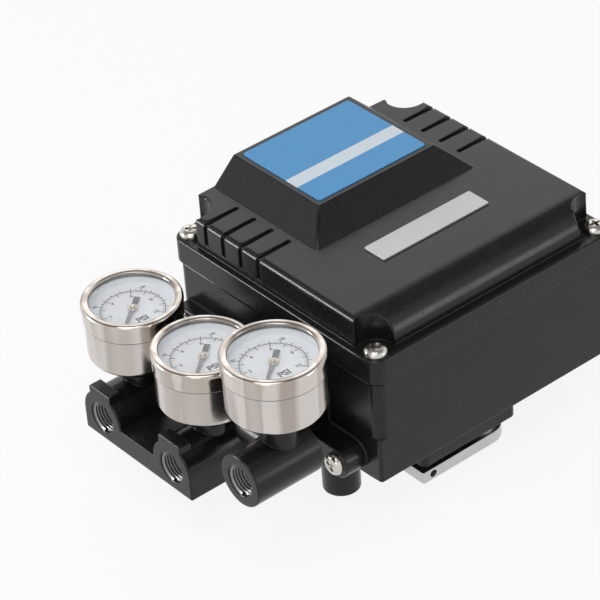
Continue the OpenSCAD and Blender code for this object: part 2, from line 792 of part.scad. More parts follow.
// Set screw that clamps the arm on the shaft
module arm_screw() {
    seat = shaft_x + shaft_r + fit;
    color([0.3, 0.3, 0.32]) rod_x([seat, shaft_y, arm_screw_z], m4_r, arm_hub_r - shaft_r + 2);
}

module feedback_lever() {
    end_r = lever_w / 2;
    color([0.72, 0.72, 0.71]) translate([shaft_x, shaft_y, lever_bottom]) difference() {
        union() {
            cylinder(r = end_r, h = lever_t);
            translate([-lever_l / 2, 0, 0]) round_box(lever_l, lever_w, lever_t, lever_r);
            translate([-lever_l / 2, -end_r, 0]) cube([lever_l / 2, lever_w, lever_t]);
        }
        translate([0, 0, -1]) cylinder(r = shaft_r + fit, h = lever_t + 2);
        translate([lever_hole_in - lever_l, 0, -1]) cylinder(d = lever_hole_d, h = lever_t + 2);
        translate([side_hole_in - lever_l, -end_r / 2, lever_t / 2]) rotate([90, 0, 0]) cylinder(r = side_hole_r, h = lever_w);
    }
}

module lever_washer() {
    color([0.75, 0.75, 0.75]) translate([shaft_x, shaft_y, lever_top]) ring(shaft_r + fit, shaft_r + 4, washer_t);
}

module lever_nut() {
    color([0.75, 0.75, 0.74]) translate([shaft_x, shaft_y, lever_bottom - nut_h]) difference() {
        cylinder(r = thread_r * 2.2, h = nut_h, $fn = 6);
        translate([0, 0, -1]) cylinder(r = thread_r + fit, h = nut_h + 2);
    }
}

module mechanism_plate() {
    color([0.75, 0.74, 0.7]) difference() {
        union() {
            translate([plate_x[0], plate_y[0], plate_z])
                cube([plate_x[1] - plate_x[0], plate_y[1] - plate_y[0], plate_t]);
            translate([knob_x, knob_y, plate_z]) cylinder(r = 4, h = plate_t + 2);
            translate([knob_x, knob_y, plate_z]) cylinder(r = stud_r, h = plate_t + 2 + knob_h + 3);
        }
        for (p = plate_posts) translate([p[0], p[1], plate_z - 1]) cylinder(r = m4_clear_r, h = plate_t + 2);
        translate([beam_x, pivot_y, plate_z - 1]) cylinder(d = pivot_d, h = plate_t + 2);
    }
}

module plate_screws() {
    color([0.7, 0.7, 0.7]) for (p = plate_posts) translate([p[0], p[1], plate_top])
        pan_screw(m4_r, m4_head_r, m4_head_h, plate_t + plate_up - 2);
}

// Pivot pin with the collar that the beam turns on
module beam_pin() {
    color([0.6, 0.6, 0.62]) translate([beam_x, pivot_y, 0]) {
        translate([0, 0, plate_z]) cylinder(d = pivot_d, h = beam_z + beam_h + 2 - plate_z);
        translate([0, 0, plate_top]) cylinder(r = pivot_d / 2 + 2, h = beam_z - play - plate_top);
    }
}

module balance_beam() {
    front = beam_front + 4;
    color([0.78, 0.79, 0.8]) translate([beam_x, pivot_y, beam_z]) difference() {
        union() {
            translate([-beam_w / 2, -front, 0]) cube([beam_w, front + beam_back + 5, beam_h]);
            cylinder(r = pivot_d / 2 + 3, h = beam_h);
            translate([0, -beam_front, 0]) cylinder(r = post_r, h = spring_z + 2 - beam_z);
        }
        translate([0, 0, -1]) cylinder(r = pivot_d / 2 + fit, h = beam_h + 2);
    }
}

// Wire coil along X between two points, as a swept tube
module wire_coil(x0, x1, coil_r, wire_r, turns) {
    sides = 6;
    per_turn = 14;
    rings = turns * per_turn;
    pitch = (x1 - x0) / turns;
    tilt = atan2(pitch, 2 * PI * coil_r);
    points = [for (i = [0:rings], j = [0:sides - 1])
        let (a = 360 * i / per_turn, b = 360 * j / sides, out = coil_r + wire_r * cos(b), along = wire_r * sin(b))
        [x0 + pitch * i / per_turn + along * cos(tilt),
         out * cos(a) + along * sin(tilt) * sin(a), out * sin(a) - along * sin(tilt) * cos(a)]];
    sides_faces = [for (i = [0:rings - 1], j = [0:sides - 1])
        let (k = (j + 1) % sides)
        [i * sides + j, i * sides + k, (i + 1) * sides + k, (i + 1) * sides + j]];
    start_cap = [[for (j = [0:sides - 1]) sides - 1 - j]];
    end_cap = [[for (j = [0:sides - 1]) rings * sides + j]];
    polyhedron(points, concat(sides_faces, start_cap, end_cap));
}

module feedback_spring() {
    wire_r = 0.5;
    loop_r = post_r + wire_r + play;
    coil_r = 3;
    x0 = beam_x + loop_r + 2;
    x1 = shaft_x - loop_r - 2;
    color([0.6, 0.6, 0.62]) translate([0, arm_tip_y, spring_z]) {
        wire_coil(x0, x1, coil_r, wire_r, 8);
        for (end = [[beam_x, x0, 1], [shaft_x, x1, -1]]) {
            translate([end[0], 0, 0]) rotate_extrude() translate([loop_r, 0]) circle(r = wire_r, $fn = 16);
            translate([end[1] - wire_r, -wire_r, -wire_r]) cube([2 * wire_r, coil_r, 2 * wire_r]);
            rod_x([min(end[0] + end[2] * loop_r, end[1]), 0, 0], wire_r, abs(end[1] - end[0]) - loop_r);
        }
    }
}

module nozzle_bracket() {
    color([0.75, 0.74, 0.7]) difference() {
        translate([beam_x - nozzle_l, nozzle_y - nozzle_plate_w / 2, plate_top])
            cube([nozzle_plate_t, nozzle_plate_w, bellows_z + nozzle_plate_w / 2 - plate_top]);
        rod_x([beam_x - nozzle_l - 1, nozzle_y, bellows_z], 2.5, nozzle_plate_t + 2);
    }
}

module nozzle() {
    tip = beam_x - beam_w / 2 - nozzle_gap;
    color([0.75, 0.6, 0.3]) difference() {
        union() {
            rod_x([beam_x - nozzle_l - 2, nozzle_y, bellows_z], 2.4, tip - beam_x + nozzle_l);
            rod_x([beam_x - nozzle_l - nozzle_head_l, nozzle_y, bellows_z], 4, nozzle_head_l);
            rod_x([tip - 3, nozzle_y, bellows_z], 1.2, 3);
        }
        rod_x([beam_x - nozzle_l - nozzle_head_l - 1, nozzle_y, bellows_z], 0.5, nozzle_l + nozzle_head_l + 2);
    }
}

module bellows_bracket() {
    color([0.75, 0.74, 0.7]) difference() {
        union() {
            translate([bellows_x, bellows_y - 11, plate_top])
                cube([bracket_t, 22, bellows_z + bellows_r + 2 - plate_top]);
            rod_x([bellows_x, bellows_y, bellows_z], 4, bracket_t + bracket_nose);
        }
        rod_x([bellows_x - 1, bellows_y, bellows_z], tube_r / 2, bracket_t + bracket_nose + 3);
    }
}

// Corrugated brass bellows with a push rod
module signal_bellows() {
    folds = 6;
    pitch = bellows_l / folds;
    inner = bellows_r - 2;
    color([0.78, 0.62, 0.32]) {
        translate([bellows_x - bellows_l, bellows_y, bellows_z]) rotate([0, 90, 0]) {
            cylinder(r = inner, h = bellows_l);
            for (i = [0:folds - 1]) translate([0, 0, (i + 0.25) * pitch]) rotate_extrude() {
                square([bellows_r - pitch / 4, pitch / 2]);
                translate([bellows_r - pitch / 4, pitch / 4]) circle(r = pitch / 4, $fn = 20);
            }
        }
        rod_x([bellows_x - bellows_l - bellows_rod_l, bellows_y, bellows_z], 2, bellows_rod_l + 1);
    }
}

// Knurled zero adjuster on the stud of the mechanism plate
module zero_knob() {
    ridges = 20;
    color([0.2, 0.2, 0.21]) translate([knob_x, knob_y, plate_top + 2 + play]) difference() {
        cylinder(r = knob_r, h = knob_h);
        translate([0, 0, -1]) cylinder(r = stud_r + fit, h = knob_h + 2);
        for (i = [0:ridges - 1]) rotate([0, 0, i * 360 / ridges]) translate([knob_r + 0.2, 0, -1])
            cylinder(r = 0.7, h = knob_h + 2, $fn = 16);
    }
}

module pilot_body() {
    color([0.76, 0.77, 0.78]) difference() {
        translate([pilot_x - pilot_w / 2, -pilot_l / 2, floor_z]) cube([pilot_w, pilot_l, pilot_w]);
        translate([pilot_x, pilot_l / 2 + 1, pilot_z]) rotate([90, 0, 0]) cylinder(d = spool_d + 2 * fit, h = pilot_l + 2);
        for (y = [gauge_y, output_y])
            rod_x([pilot_x - pilot_w / 2 - 1, y, low_z], tube_r / 2, pilot_w / 2 - spool_d / 2);
    }
}

module pilot_caps() {
    color([0.7, 0.7, 0.7]) for (side = [-1, 1])
        translate([pilot_x - pilot_w / 2, side * (pilot_l + cap_t) / 2 - cap_t / 2, floor_z])
            cube([pilot_w, cap_t, pilot_w]);
}

// Valve spool with its grooves
module pilot_spool() {
    r = spool_d / 2;
    color([0.66, 0.66, 0.68]) translate([pilot_x, spool_l / 2, pilot_z]) rotate([90, 0, 0]) difference() {
        cylinder(r = r, h = spool_l);
        for (i = [1:3]) translate([0, 0, i * spool_l / 4 - 2]) ring(r - 1.5, r + 1, 4);
    }
}

module signal_tube() {
    color([0.72, 0.45, 0.3]) pipe([[inner_x, signal_y, high_z], [signal_in_x, signal_y, high_z],
        [signal_in_x, signal_y, signal_high], [signal_out_x, signal_y, signal_high],
        [signal_out_x, bellows_y, signal_high], [signal_out_x, bellows_y, bellows_z],
        [bellows_x + bracket_t + bracket_nose, bellows_y, bellows_z]], tube_r);
}

module supply_tube() {
    color([0.72, 0.45, 0.3]) rod_x([inner_x, gauge_row[1], low_z], tube_r, pilot_x - pilot_w / 2 - inner_x);
}

module output_tube() {
    color([0.72, 0.45, 0.3]) pipe([[inner_x, gauge_row[0], low_z], [output_turn_x, gauge_row[0], low_z],
        [output_turn_x, output_y, low_z], [pilot_x - pilot_w / 2, output_y, low_z]], tube_r);
}

housing();
cover_gasket();
cover();
cover_screws();
label_plate();
name_plate();
port_block_gasket();
port_block();
port_block_screws();
signal_port_gasket();
signal_port();
signal_port_screws();
gauge_socket(0);  // gauge_1_socket
gauge_case(0);  // gauge_1_case
gauge_movement(0);  // gauge_1_movement
gauge_dial(0);  // gauge_1_dial
gauge_window(0);  // gauge_1_window
gauge_bezel(0);  // gauge_1_bezel
gauge_pointer(0);  // gauge_1_pointer
gauge_socket(1);  // gauge_2_socket
gauge_case(1);  // gauge_2_case
gauge_movement(1);  // gauge_2_movement
gauge_dial(1);  // gauge_2_dial
gauge_window(1);  // gauge_2_window
gauge_bezel(1);  // gauge_2_bezel
gauge_pointer(1);  // gauge_2_pointer
gauge_socket(2);  // gauge_3_socket
gauge_case(2);  // gauge_3_case
gauge_movement(2);  // gauge_3_movement
gauge_dial(2);  // gauge_3_dial
gauge_window(2);  // gauge_3_window
gauge_bezel(2);  // gauge_3_bezel
gauge_pointer(2);  // gauge_3_pointer
shaft_bush();
shaft_seal();
feedback_shaft();
feedback_arm();
arm_screw();
feedback_lever();
lever_washer();
lever_nut();
mechanism_plate();
plate_screws();
beam_pin();
balance_beam();
feedback_spring();
nozzle_bracket();
nozzle();
bellows_bracket();
signal_bellows();
zero_knob();
pilot_body();
pilot_caps();
pilot_spool();
signal_tube();
supply_tube();
output_tube();
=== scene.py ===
"""Looks of a pneumatic valve positioner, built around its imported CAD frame."""

import json
import math

import bmesh
import bpy
from bpy.props import FloatProperty, FloatVectorProperty, IntProperty, PointerProperty
from mathutils import Matrix, Vector
from mathutils.bvhtree import BVHTree
from mathutils.kdtree import KDTree


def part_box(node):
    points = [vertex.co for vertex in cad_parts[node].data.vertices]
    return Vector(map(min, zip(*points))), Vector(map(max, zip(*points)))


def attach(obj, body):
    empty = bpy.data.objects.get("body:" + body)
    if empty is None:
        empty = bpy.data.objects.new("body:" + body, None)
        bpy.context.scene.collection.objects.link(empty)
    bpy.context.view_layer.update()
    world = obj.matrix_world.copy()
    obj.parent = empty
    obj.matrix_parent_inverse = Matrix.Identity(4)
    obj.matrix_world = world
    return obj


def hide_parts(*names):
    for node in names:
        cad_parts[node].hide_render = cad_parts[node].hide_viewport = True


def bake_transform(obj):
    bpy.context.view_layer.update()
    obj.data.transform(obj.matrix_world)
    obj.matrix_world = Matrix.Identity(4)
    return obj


bl_info = {
    "name": "Valve positioner looks",
    "version": (1, 0, 0),
    "blender": (4, 5, 0),
    "location": "View3D > Sidebar > Positioner",
    "description": "Looks and studio of a pneumatic valve positioner",
    "category": "Object",
}

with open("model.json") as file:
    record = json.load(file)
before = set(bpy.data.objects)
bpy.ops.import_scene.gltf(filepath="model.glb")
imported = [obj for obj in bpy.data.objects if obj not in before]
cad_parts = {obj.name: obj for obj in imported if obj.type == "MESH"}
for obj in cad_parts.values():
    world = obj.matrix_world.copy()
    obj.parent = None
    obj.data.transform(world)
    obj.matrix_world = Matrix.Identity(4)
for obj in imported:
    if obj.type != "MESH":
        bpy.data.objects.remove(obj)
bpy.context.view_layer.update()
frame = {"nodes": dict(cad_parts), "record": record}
MM = 0.001
GAUGES = (1, 2, 3)

# Pan heads of the outer screws
HEAD_RADIUS = 4.75 * MM
HEAD_HEIGHT = 3.2 * MM

# Corners nearer than this are merged
MERGE = 0.001 * MM
PRINT_MERGE = 0.0001 * MM
CAD_MERGE = 0.004 * MM

# Bevels, with lengths in radii
SHARP = math.radians(34)  # least turn of an edge that is rounded
IN_LINE = 2.5  # angle, in radians, past which an edge carries on the one it meets
ROOM = 2.2  # least width beside an edge
FAULT_WIDTH = 1.2  # width that stays sharp round a fault
OFF_SURFACE = 0.5  # a corner further off than this is a fault
ON_SURFACE = 0.02  # a face nearer than this lies on the old surface
SAME_WAY = 0.5  # cosine under which such a face is turned over


# Settings


class CastingSettings(bpy.types.PropertyGroup):
    """Black painted castings."""

    paint: FloatVectorProperty(
        name="Paint",
        description="Colour of the black paint",
        subtype="COLOR",
        default=(0.009, 0.009, 0.009),
        min=0,
        max=1,
    )
    roughness: FloatProperty(
        name="Paint roughness",
        description="How dull the paint is",
        subtype="FACTOR",
        default=0.24,
        min=0,
        max=1,
    )
    peel: FloatProperty(
        name="Paint texture",
        description="Depth of the fine texture of sprayed paint",
        unit="LENGTH",
        default=0.02 * MM,
    )
    edge: FloatProperty(
        name="Edge radius",
        description="Radius that the paint and the mould leave on the edges",
        unit="LENGTH",
        default=1.0 * MM,
    )
    rim: FloatProperty(
        name="Scoop rims",
        description="Radius of the upright rims of the screw scoops",
        unit="LENGTH",
        default=1.4 * MM,
        min=0,
    )


class PlateSettings(bpy.types.PropertyGroup):
    """Label and name plate."""

    blue: FloatVectorProperty(
        name="Label blue",
        description="Printed ground of the label",
        subtype="COLOR",
        default=(0.051, 0.279, 0.582),
        min=0,
        max=1,
    )
    band: FloatVectorProperty(
        name="Band colour",
        description="Pale band across the label",
        subtype="COLOR",
        default=(0.63, 0.71, 0.78),
        min=0,
        max=1,
    )
    band_low: FloatProperty(
        name="Band front edge",
        description="Place of the band's front edge",
        unit="LENGTH",
        default=23.3 * MM,
    )
    band_high: FloatProperty(
        name="Band rear edge",
        description="Place of the band's rear edge",
        unit="LENGTH",
        default=30.5 * MM,
    )
    silver: FloatVectorProperty(
        name="Plate silver",
        description="Colour of the bare name plate",
        subtype="COLOR",
        default=(0.585, 0.575, 0.56),
        min=0,
        max=1,
    )


class GaugeSettings(bpy.types.PropertyGroup):
    """Pressure gauges."""

    steel: FloatVectorProperty(
        name="Case steel",
        description="Colour of the polished cases",
        subtype="COLOR",
        default=(0.58, 0.545, 0.525),
        min=0,
        max=1,
    )
    bezel: FloatVectorProperty(
        name="Bezel steel",
        description="Colour of the warmer polish of the bezels",
        subtype="COLOR",
        default=(0.57, 0.525, 0.485),
        min=0,
        max=1,
    )
    dial: FloatVectorProperty(
        name="Dial",
        description="Colour of the dial enamel",
        subtype="COLOR",
        default=(0.92, 0.945, 0.985),
        min=0,
        max=1,
    )
    scale_radius: FloatProperty(
        name="Scale radius",
        description="Radius of the arc between the two scales",
        unit="LENGTH",
        default=13.2 * MM,
    )
    divisions: IntProperty(
        name="Divisions",
        description="Number of main divisions on the scale",
        default=10,
        min=2,
    )
    outer_divisions: IntProperty(
        name="Outer divisions",
        description="Number of main divisions on the outer scale",
        default=15,
        min=3,
    )
    unit_height: FloatProperty(
        name="Unit height",
        description="Height of the unit's letters under the hub",
        unit="LENGTH",
        default=3.1 * MM,
    )
    unit_drop: FloatProperty(
        name="Unit place",
        description="Distance of the unit's letters from the hub",
        unit="LENGTH",
        default=7.6 * MM,
    )
    figure_height: FloatProperty(
        name="Figure height",
        description="Height of the figures on the dial",
        unit="LENGTH",
        default=1.9 * MM,
    )
    turn: FloatProperty(
        name="Turn",
        description="Turn of each gauge on its thread",
        unit="ROTATION",
        default=math.radians(-6.5),
    )
    zero: FloatProperty(
        name="Zero",
        description="Direction of the scale's zero, seen from above",
        unit="ROTATION",
        default=math.radians(225),
    )
    sweep: FloatProperty(
        name="Sweep",
        description="Angle of the whole scale",
        unit="ROTATION",
        default=math.radians(270),
    )


class FastenerSettings(bpy.types.PropertyGroup):
    """Screws and port threads."""

    nickel: FloatVectorProperty(
        name="Nickel",
        description="Colour of the plated screws",
        subtype="COLOR",
        default=(0.62, 0.60, 0.56),
        min=0,
        max=1,
    )
    wire: FloatProperty(
        name="Spring wire",
        description="Radius of the feedback spring's wire",
        unit="LENGTH",
        default=0.5 * MM,
    )
    eye: FloatProperty(
        name="Spring eyes",
        description="Radius of the eyes at the spring's ends",
        unit="LENGTH",
        default=2.3 * MM,
    )
    lead: FloatProperty(
        name="Spring leads",
        description="Length of the straight wire between an eye and the coil",
        unit="LENGTH",
        default=2 * MM,
    )
    turns: IntProperty(
        name="Spring turns",
        description="Number of turns of the spring's coil",
        default=8,
        min=1,
    )
    recess: FloatProperty(
        name="Recess width",
        description="Width of each slot of the cross recess",
        unit="LENGTH",
        default=1.7 * MM,
    )
    pitch: FloatProperty(
        name="Port thread pitch",
        description="Step of the thread in the air ports",
        unit="LENGTH",
        default=1.34 * MM,
    )
    thread_height: FloatProperty(
        name="Port thread height",
        description="Height of the thread in the air ports",
        unit="LENGTH",
        default=0.75 * MM,
    )


class StageSettings(bpy.types.PropertyGroup):
    """Floor, lights and camera."""

    floor: FloatVectorProperty(
        name="Floor",
        description="Colour of the pale floor",
        subtype="COLOR",
        default=(0.80, 0.80, 0.80),
        min=0,
        max=1,
    )
    world: FloatProperty(
        name="Room light",
        description="Strength of the even light of the room",
        default=0.42,
        min=0,
    )
    key: FloatProperty(
        name="Key light",
        description="Power of the large lamp above on the left",
        unit="POWER",
        default=7.0,
        min=0,
    )
    right: FloatProperty(
        name="Right light",
        description="Power of the low lamp in front on the right",
        unit="POWER",
        default=1.2,
        min=0,
    )
    rear: FloatProperty(
        name="Rear light",
        description="Power of the low lamp behind on the left",
        unit="POWER",
        default=7.0,
        min=0,
    )
    side: FloatProperty(
        name="Side light",
        description="Power of the small lamp in front on the left",
        unit="POWER",
        default=1.0,
        min=0,
    )
    back: FloatProperty(
        name="Back light",
        description="Power of the wide lamp behind that the flat tops mirror",
        unit="POWER",
        default=2.2,
        min=0,
    )
    zenith: FloatProperty(
        name="Ceiling",
        description="Brightness of the room's ceiling in reflections, where 1 is white",
        subtype="FACTOR",
        default=0.3,
        min=0,
        max=1,
    )
    target: FloatVectorProperty(
        name="Target",
        description="Point at the middle of the picture",
        subtype="TRANSLATION",
        default=(-42.81 * MM, 9.2 * MM, 68.3 * MM),
    )
    azimuth: FloatProperty(
        name="Azimuth",
        description="Direction of the camera round the part",
        unit="ROTATION",
        default=math.radians(-37.59),
    )
    elevation: FloatProperty(
        name="Elevation",
        description="Height of the camera above the horizon",
        unit="ROTATION",
        default=math.radians(35.578),
    )
    roll: FloatProperty(
        name="Roll",
        description="Turn of the picture about its middle",
        unit="ROTATION",
        default=math.radians(-4.42),
    )
    distance: FloatProperty(
        name="Distance",
        description="Distance from the target to the camera",
        unit="LENGTH",
        default=1308.98 * MM,
    )
    lens: FloatProperty(
        name="Lens",
        description="Focal length in millimetres on a sensor 36 mm wide",
        default=193.43,
        min=1,
    )


# Shader maths


class Wire:
    """The output of a node, on which sums can be written."""

    def __init__(self, nodes, socket):
        self.nodes = nodes
        self.socket = socket

    def maths(self, operation, first, second):
        return self.nodes.add(
            "ShaderNodeMath", {"operation": operation}, {0: first, 1: second}
        )

    def __add__(self, other):
        return self.maths("ADD", self, other)

    def __radd__(self, other):
        return self.maths("ADD", other, self)

    def __sub__(self, other):
        return self.maths("SUBTRACT", self, other)

    def __rsub__(self, other):
        return self.maths("SUBTRACT", other, self)

    def __mul__(self, other):
        return self.maths("MULTIPLY", self, other)

    def __rmul__(self, other):
        return self.maths("MULTIPLY", other, self)

    def __gt__(self, other):
        return self.maths("GREATER_THAN", self, other)

    def __lt__(self, other):
        return self.maths("LESS_THAN", self, other)


class Nodes:
    """The node tree of a material or world while its nodes are added."""

    def __init__(self, owner):
        owner.use_nodes = True
        self.tree = owner.node_tree
        self.tree.nodes.clear()

    def add(self, kind, settings=None, sockets=None, out=0):
        """Adds a node, sets it, fills or links its sockets and returns an output."""
        node = self.tree.nodes.new(kind)
        for key, value in (settings or {}).items():
            if key == "stops":
                self.set_stops(node.color_ramp.elements, value)
            else:
                setattr(node, key, value)
        for key, value in (sockets or {}).items():
            if isinstance(value, Wire):
                self.tree.links.new(value.socket, node.inputs[key])
            else:
                node.inputs[key].default_value = value
        return Wire(self, node.outputs[out]) if node.outputs else node

    def set_stops(self, elements, stops):
        """Gives a ramp its (position, grey) stops."""
        elements[0].position = stops[0][0]
        elements[1].position = stops[-1][0]
        for position, _ in stops[1:-1]:
            elements.new(position)
        for element, (_, grey) in zip(elements, stops):
            element.color = (grey, grey, grey, 1)

    def shown(self):
        """1 for the rays that show the background: seen, off metal or through glass."""
        total, *others = (
            self.add("ShaderNodeLightPath", out=f"Is {kind} Ray")
            for kind in ("Camera", "Glossy", "Transmission")
        )
        for other in others:
            total = total.maths("MAXIMUM", total, other)
        return total


class Finish(Nodes):
    """A material while its nodes are added."""

    bevel_samples = 8

    def __init__(self, name):
        self.material = bpy.data.materials.new(name)
        super().__init__(self.material)
        self.place = self.add("ShaderNodeTexCoord", out="Object")

    def noise(self, scale, detail=2.0, stretch=(1, 1, 1)):
        place = self.add(
            "ShaderNodeMapping", sockets={"Vector": self.place, "Scale": stretch}
        )
        return self.add(
            "ShaderNodeTexNoise",
            sockets={"Vector": place, "Scale": scale, "Detail": detail},
        )

    def ramp(self, value, *stops):
        return self.add("ShaderNodeValToRGB", {"stops": stops}, {"Fac": value})

    def axis(self, letter):
        return self.add("ShaderNodeSeparateXYZ", sockets={0: self.place}, out=letter)

    def mix(self, factor, first, second):
        colours = [c if isinstance(c, Wire) else (*c[:3], 1.0) for c in (first, second)]
        return self.add(
            "ShaderNodeMix",
            {"data_type": "RGBA"},
            {0: factor, 6: colours[0], 7: colours[1]},
            out=2,
        )

    def bump(self, height, depth, edge=0.0):
        """Relief of that depth, on edges that are rounded in the shading."""
        sockets = {"Strength": 1.0, "Distance": depth, "Height": height}
        if edge:
            sockets["Normal"] = self.add(
                "ShaderNodeBevel", {"samples": self.bevel_samples}, {"Radius": edge}
            )
        return self.add("ShaderNodeBump", sockets=sockets)

    def done(self, colour, roughness, normal=None, **others):
        """Ends the material with a shader that has these values."""
        sockets = {"Base Color": colour, "Roughness": roughness, **others}
        if normal is not None:
            sockets["Normal"] = normal
        shader = self.add("ShaderNodeBsdfPrincipled", sockets=sockets)
        self.add("ShaderNodeOutputMaterial", sockets={"Surface": shader})
        return self.material


def tint(colour, factor):
    return tuple(min(1.0, c * factor) for c in colour)


# Finishes


def metal(
    name, colour, roughness, grain, stretch=(1, 1, 1), spread=0.16, depth=0.004 * MM
):
    """Bare or plated metal with fine marks and faint clouds."""
    f = Finish(name)
    marks = f.noise(grain, 3, stretch)
    cloud = f.noise(110, 2)
    tone = f.mix(cloud, tint(colour, 0.9), tint(colour, 1.08))
    return f.done(
        f.mix(marks * 0.35, tone, tint(colour, 0.72)),
        roughness + (marks - 0.5) * spread + (cloud - 0.5) * 0.06,
        f.bump(marks, depth),
        Metallic=1.0,
    )


def coat(name, dark, pale, roughness, spread, grain, detail, depth=0.0, metallic=0.0):
    """A coat whose colour, dullness and fine relief follow one noise."""
    f = Finish(name)
    speck = f.noise(grain, detail)
    return f.done(
        f.mix(speck, dark, pale),
        roughness + speck * spread,
        f.bump(speck, depth) if depth else None,
        Metallic=metallic,
    )


def polished(name, colour, roughness):
    """Spun and polished steel: broad upright bands of painted reflection, dark and
    bright, fine rings and rubbed patches.
    """
    f = Finish(name)
    # Painted reflection: broad upright dark and bright bands in the colour stand in for
    # what the polished steel mirrors
    reflection_bands = f.ramp(
        f.noise(60, 1, (1, 1, 0.03)),
        (0.34, 0.1),
        (0.42, 0.9),
        (0.49, 1.0),
        (0.52, 0.3),
        (0.6, 0.5),
        (0.66, 0.95),
    )
    rings = f.noise(60, 3, (1, 1, 45))
    rub = f.noise(380, 3)
    # Darker, warmer colour of the painted reflection bands
    dark_reflection = (colour[0] * 0.66, colour[1] * 0.61, colour[2] * 0.57)
    tone = f.mix(reflection_bands, dark_reflection, tint(colour, 1.18))
    return f.done(
        f.mix(rub * 0.3, tone, tint(colour, 0.7)),
        roughness + (rings - 0.5) * 0.1 + (rub - 0.5) * 0.08,
        f.bump(rings, 0.003 * MM),
        Metallic=1.0,
    )


def black_paint(name):
    look = bpy.context.scene.positioner_castings
    f = Finish(name)
    cast = f.noise(70, 3)
    peel = f.noise(1300, 2)
    dust = f.ramp(f.noise(420, 4), (0.56, 0.0), (0.74, 1.0))
    colour = f.mix(cast, tint(look.paint, 0.8), tint(look.paint, 1.25))
    colour = f.mix(dust * 0.12, colour, (0.05, 0.05, 0.048))
    dull = look.roughness + (cast - 0.5) * 0.14 + (peel - 0.5) * 0.08 + dust * 0.06
    relief = f.bump(peel + cast * 2.0, look.peel, look.edge * 0.6)
    return f.done(colour, dull, relief, **{"Specular IOR Level": 0.3})


def nickel_screw(name):
    nickel = bpy.context.scene.positioner_fasteners.nickel
    return metal(name, nickel, 0.22, 850, depth=0.12 * MM)


def gauge_steel(name):
    return polished(name, bpy.context.scene.positioner_gauges.steel, 0.2)


def bezel_steel(name):
    return polished(name, bpy.context.scene.positioner_gauges.bezel, 0.14)


def label_blue(name):
    look = bpy.context.scene.positioner_plates
    f = Finish(name)
    y = f.axis("Y")
    band = (y > look.band_low) * (y < look.band_high)
    film = f.noise(260, 3)
    ground = f.mix(film, tint(look.blue, 0.94), tint(look.blue, 1.06))
    pale = f.mix(film, tint(look.band, 0.95), tint(look.band, 1.05))
    relief = f.bump(f.noise(1500, 2) + band * 1.5, 0.01 * MM)
    return f.done(f.mix(band, ground, pale), 0.38 + film * 0.1, relief)


def plate_silver(name):
    silver = bpy.context.scene.positioner_plates.silver
    f = Finish(name)
    brush = f.noise(60, 3, (1, 40, 40))
    return f.done(
        f.mix(brush, tint(silver, 0.88), tint(silver, 1.06)),
        0.36 + brush * 0.14,
        f.bump(brush, 0.006 * MM),
        Metallic=0.3,
    )


def dial_white(name):
    dial = bpy.context.scene.positioner_gauges.dial
    dark, pale = tint(dial, 0.97), tint(dial, 1.02)
    return coat(name, dark, pale, 0.42, 0.1, 500, 2, 0.004 * MM)


def window_glass(name):
    f = Finish(name)
    smear = f.noise(90, 3)
    tone = f.mix(smear, (0.92, 0.96, 0.98), (0.97, 0.98, 0.98))
    return f.done(tone, 0.02 + smear * 0.03, Alpha=0.09 + smear * 0.05)


# Finishes that need only values: colour, roughness, grain, stretch, spread and depth
METALS = {
    "port_thread": ((0.25, 0.25, 0.25), 0.4, 500),
    "nickel_brass": ((0.52, 0.47, 0.385), 0.26, 700),
    "brass": ((0.66, 0.47, 0.20), 0.28, 700),
    "copper": ((0.66, 0.33, 0.19), 0.3, 500),
    "shaft_steel": ((0.56, 0.56, 0.56), 0.3, 90, (1, 18, 18), 0.18, 0.008 * MM),
    "plated_sheet": ((0.60, 0.59, 0.53), 0.34, 500),
    "aluminium": ((0.66, 0.66, 0.67), 0.32, 90, (20, 1, 20)),
}

# Dark and pale colour, roughness and its spread, grain, detail, depth and metallic
COATS = {
    "gasket_rubber": (
        (0.012, 0.012, 0.012), (0.03, 0.03, 0.03), 0.62, 0.2, 900, 3, 0.03 * MM
    ),
    "pointer_black": (
        (0.012, 0.012, 0.013), (0.03, 0.03, 0.032), 0.36, 0.12, 900, 2, 0.004 * MM
    ),
    "needle_grey": (
        (0.15, 0.15, 0.155), (0.24, 0.24, 0.245), 0.36, 0.12, 900, 2, 0.004 * MM, 0.3
    ),
    "scale_ink": ((0.045, 0.045, 0.05), (0.1, 0.1, 0.105), 0.45, 0.15, 1500, 2),
    "knob_plastic": (
        (0.02, 0.02, 0.02), (0.045, 0.045, 0.045), 0.5, 0.15, 1200, 3, 0.02 * MM
    ),
}

# Finishes that follow a setting or need more nodes
MAKERS = {
    maker.__name__: maker
    for maker in (black_paint, nickel_screw, gauge_steel, bezel_steel)
    + (label_blue, plate_silver, dial_white, window_glass)
}
MADE = {}


def finish_of(name):
    """The material of that name, made when it is first asked for."""
    if name not in MADE:
        if name in METALS:
            MADE[name] = metal(name, *METALS[name])
        elif name in COATS:
            MADE[name] = coat(name, *COATS[name])
        else:
            MADE[name] = MAKERS[name](name)
    return MADE[name]


# Modelling by hand


def leave():
    """Leaves edit mode."""
    if bpy.context.object and bpy.context.object.mode != "OBJECT":
        bpy.ops.object.mode_set(mode="OBJECT")


def deselect():
    leave()
    bpy.ops.object.select_all(action="DESELECT")


def only(piece):
    deselect()
    piece.select_set(True)
    bpy.context.view_layer.objects.active = piece


def edit(piece, action="SELECT", kind="EDGE"):
    """Opens a piece in edit mode with all or none of it selected."""
    only(piece)
    bpy.ops.object.mode_set(mode="EDIT")
    bpy.ops.mesh.select_mode(type=kind)
    bpy.ops.mesh.select_all(action=action)


def sealed(piece, merge=0.0, sides=None):
    """Merges corners, fills open ends with up to that many sides, turns faces out."""
    edit(piece)
    if merge:
        bpy.ops.mesh.remove_doubles(threshold=merge)
    if sides is not None:
        bpy.ops.mesh.fill_holes(sides=sides)
    bpy.ops.mesh.normals_make_consistent(inside=False)
    leave()


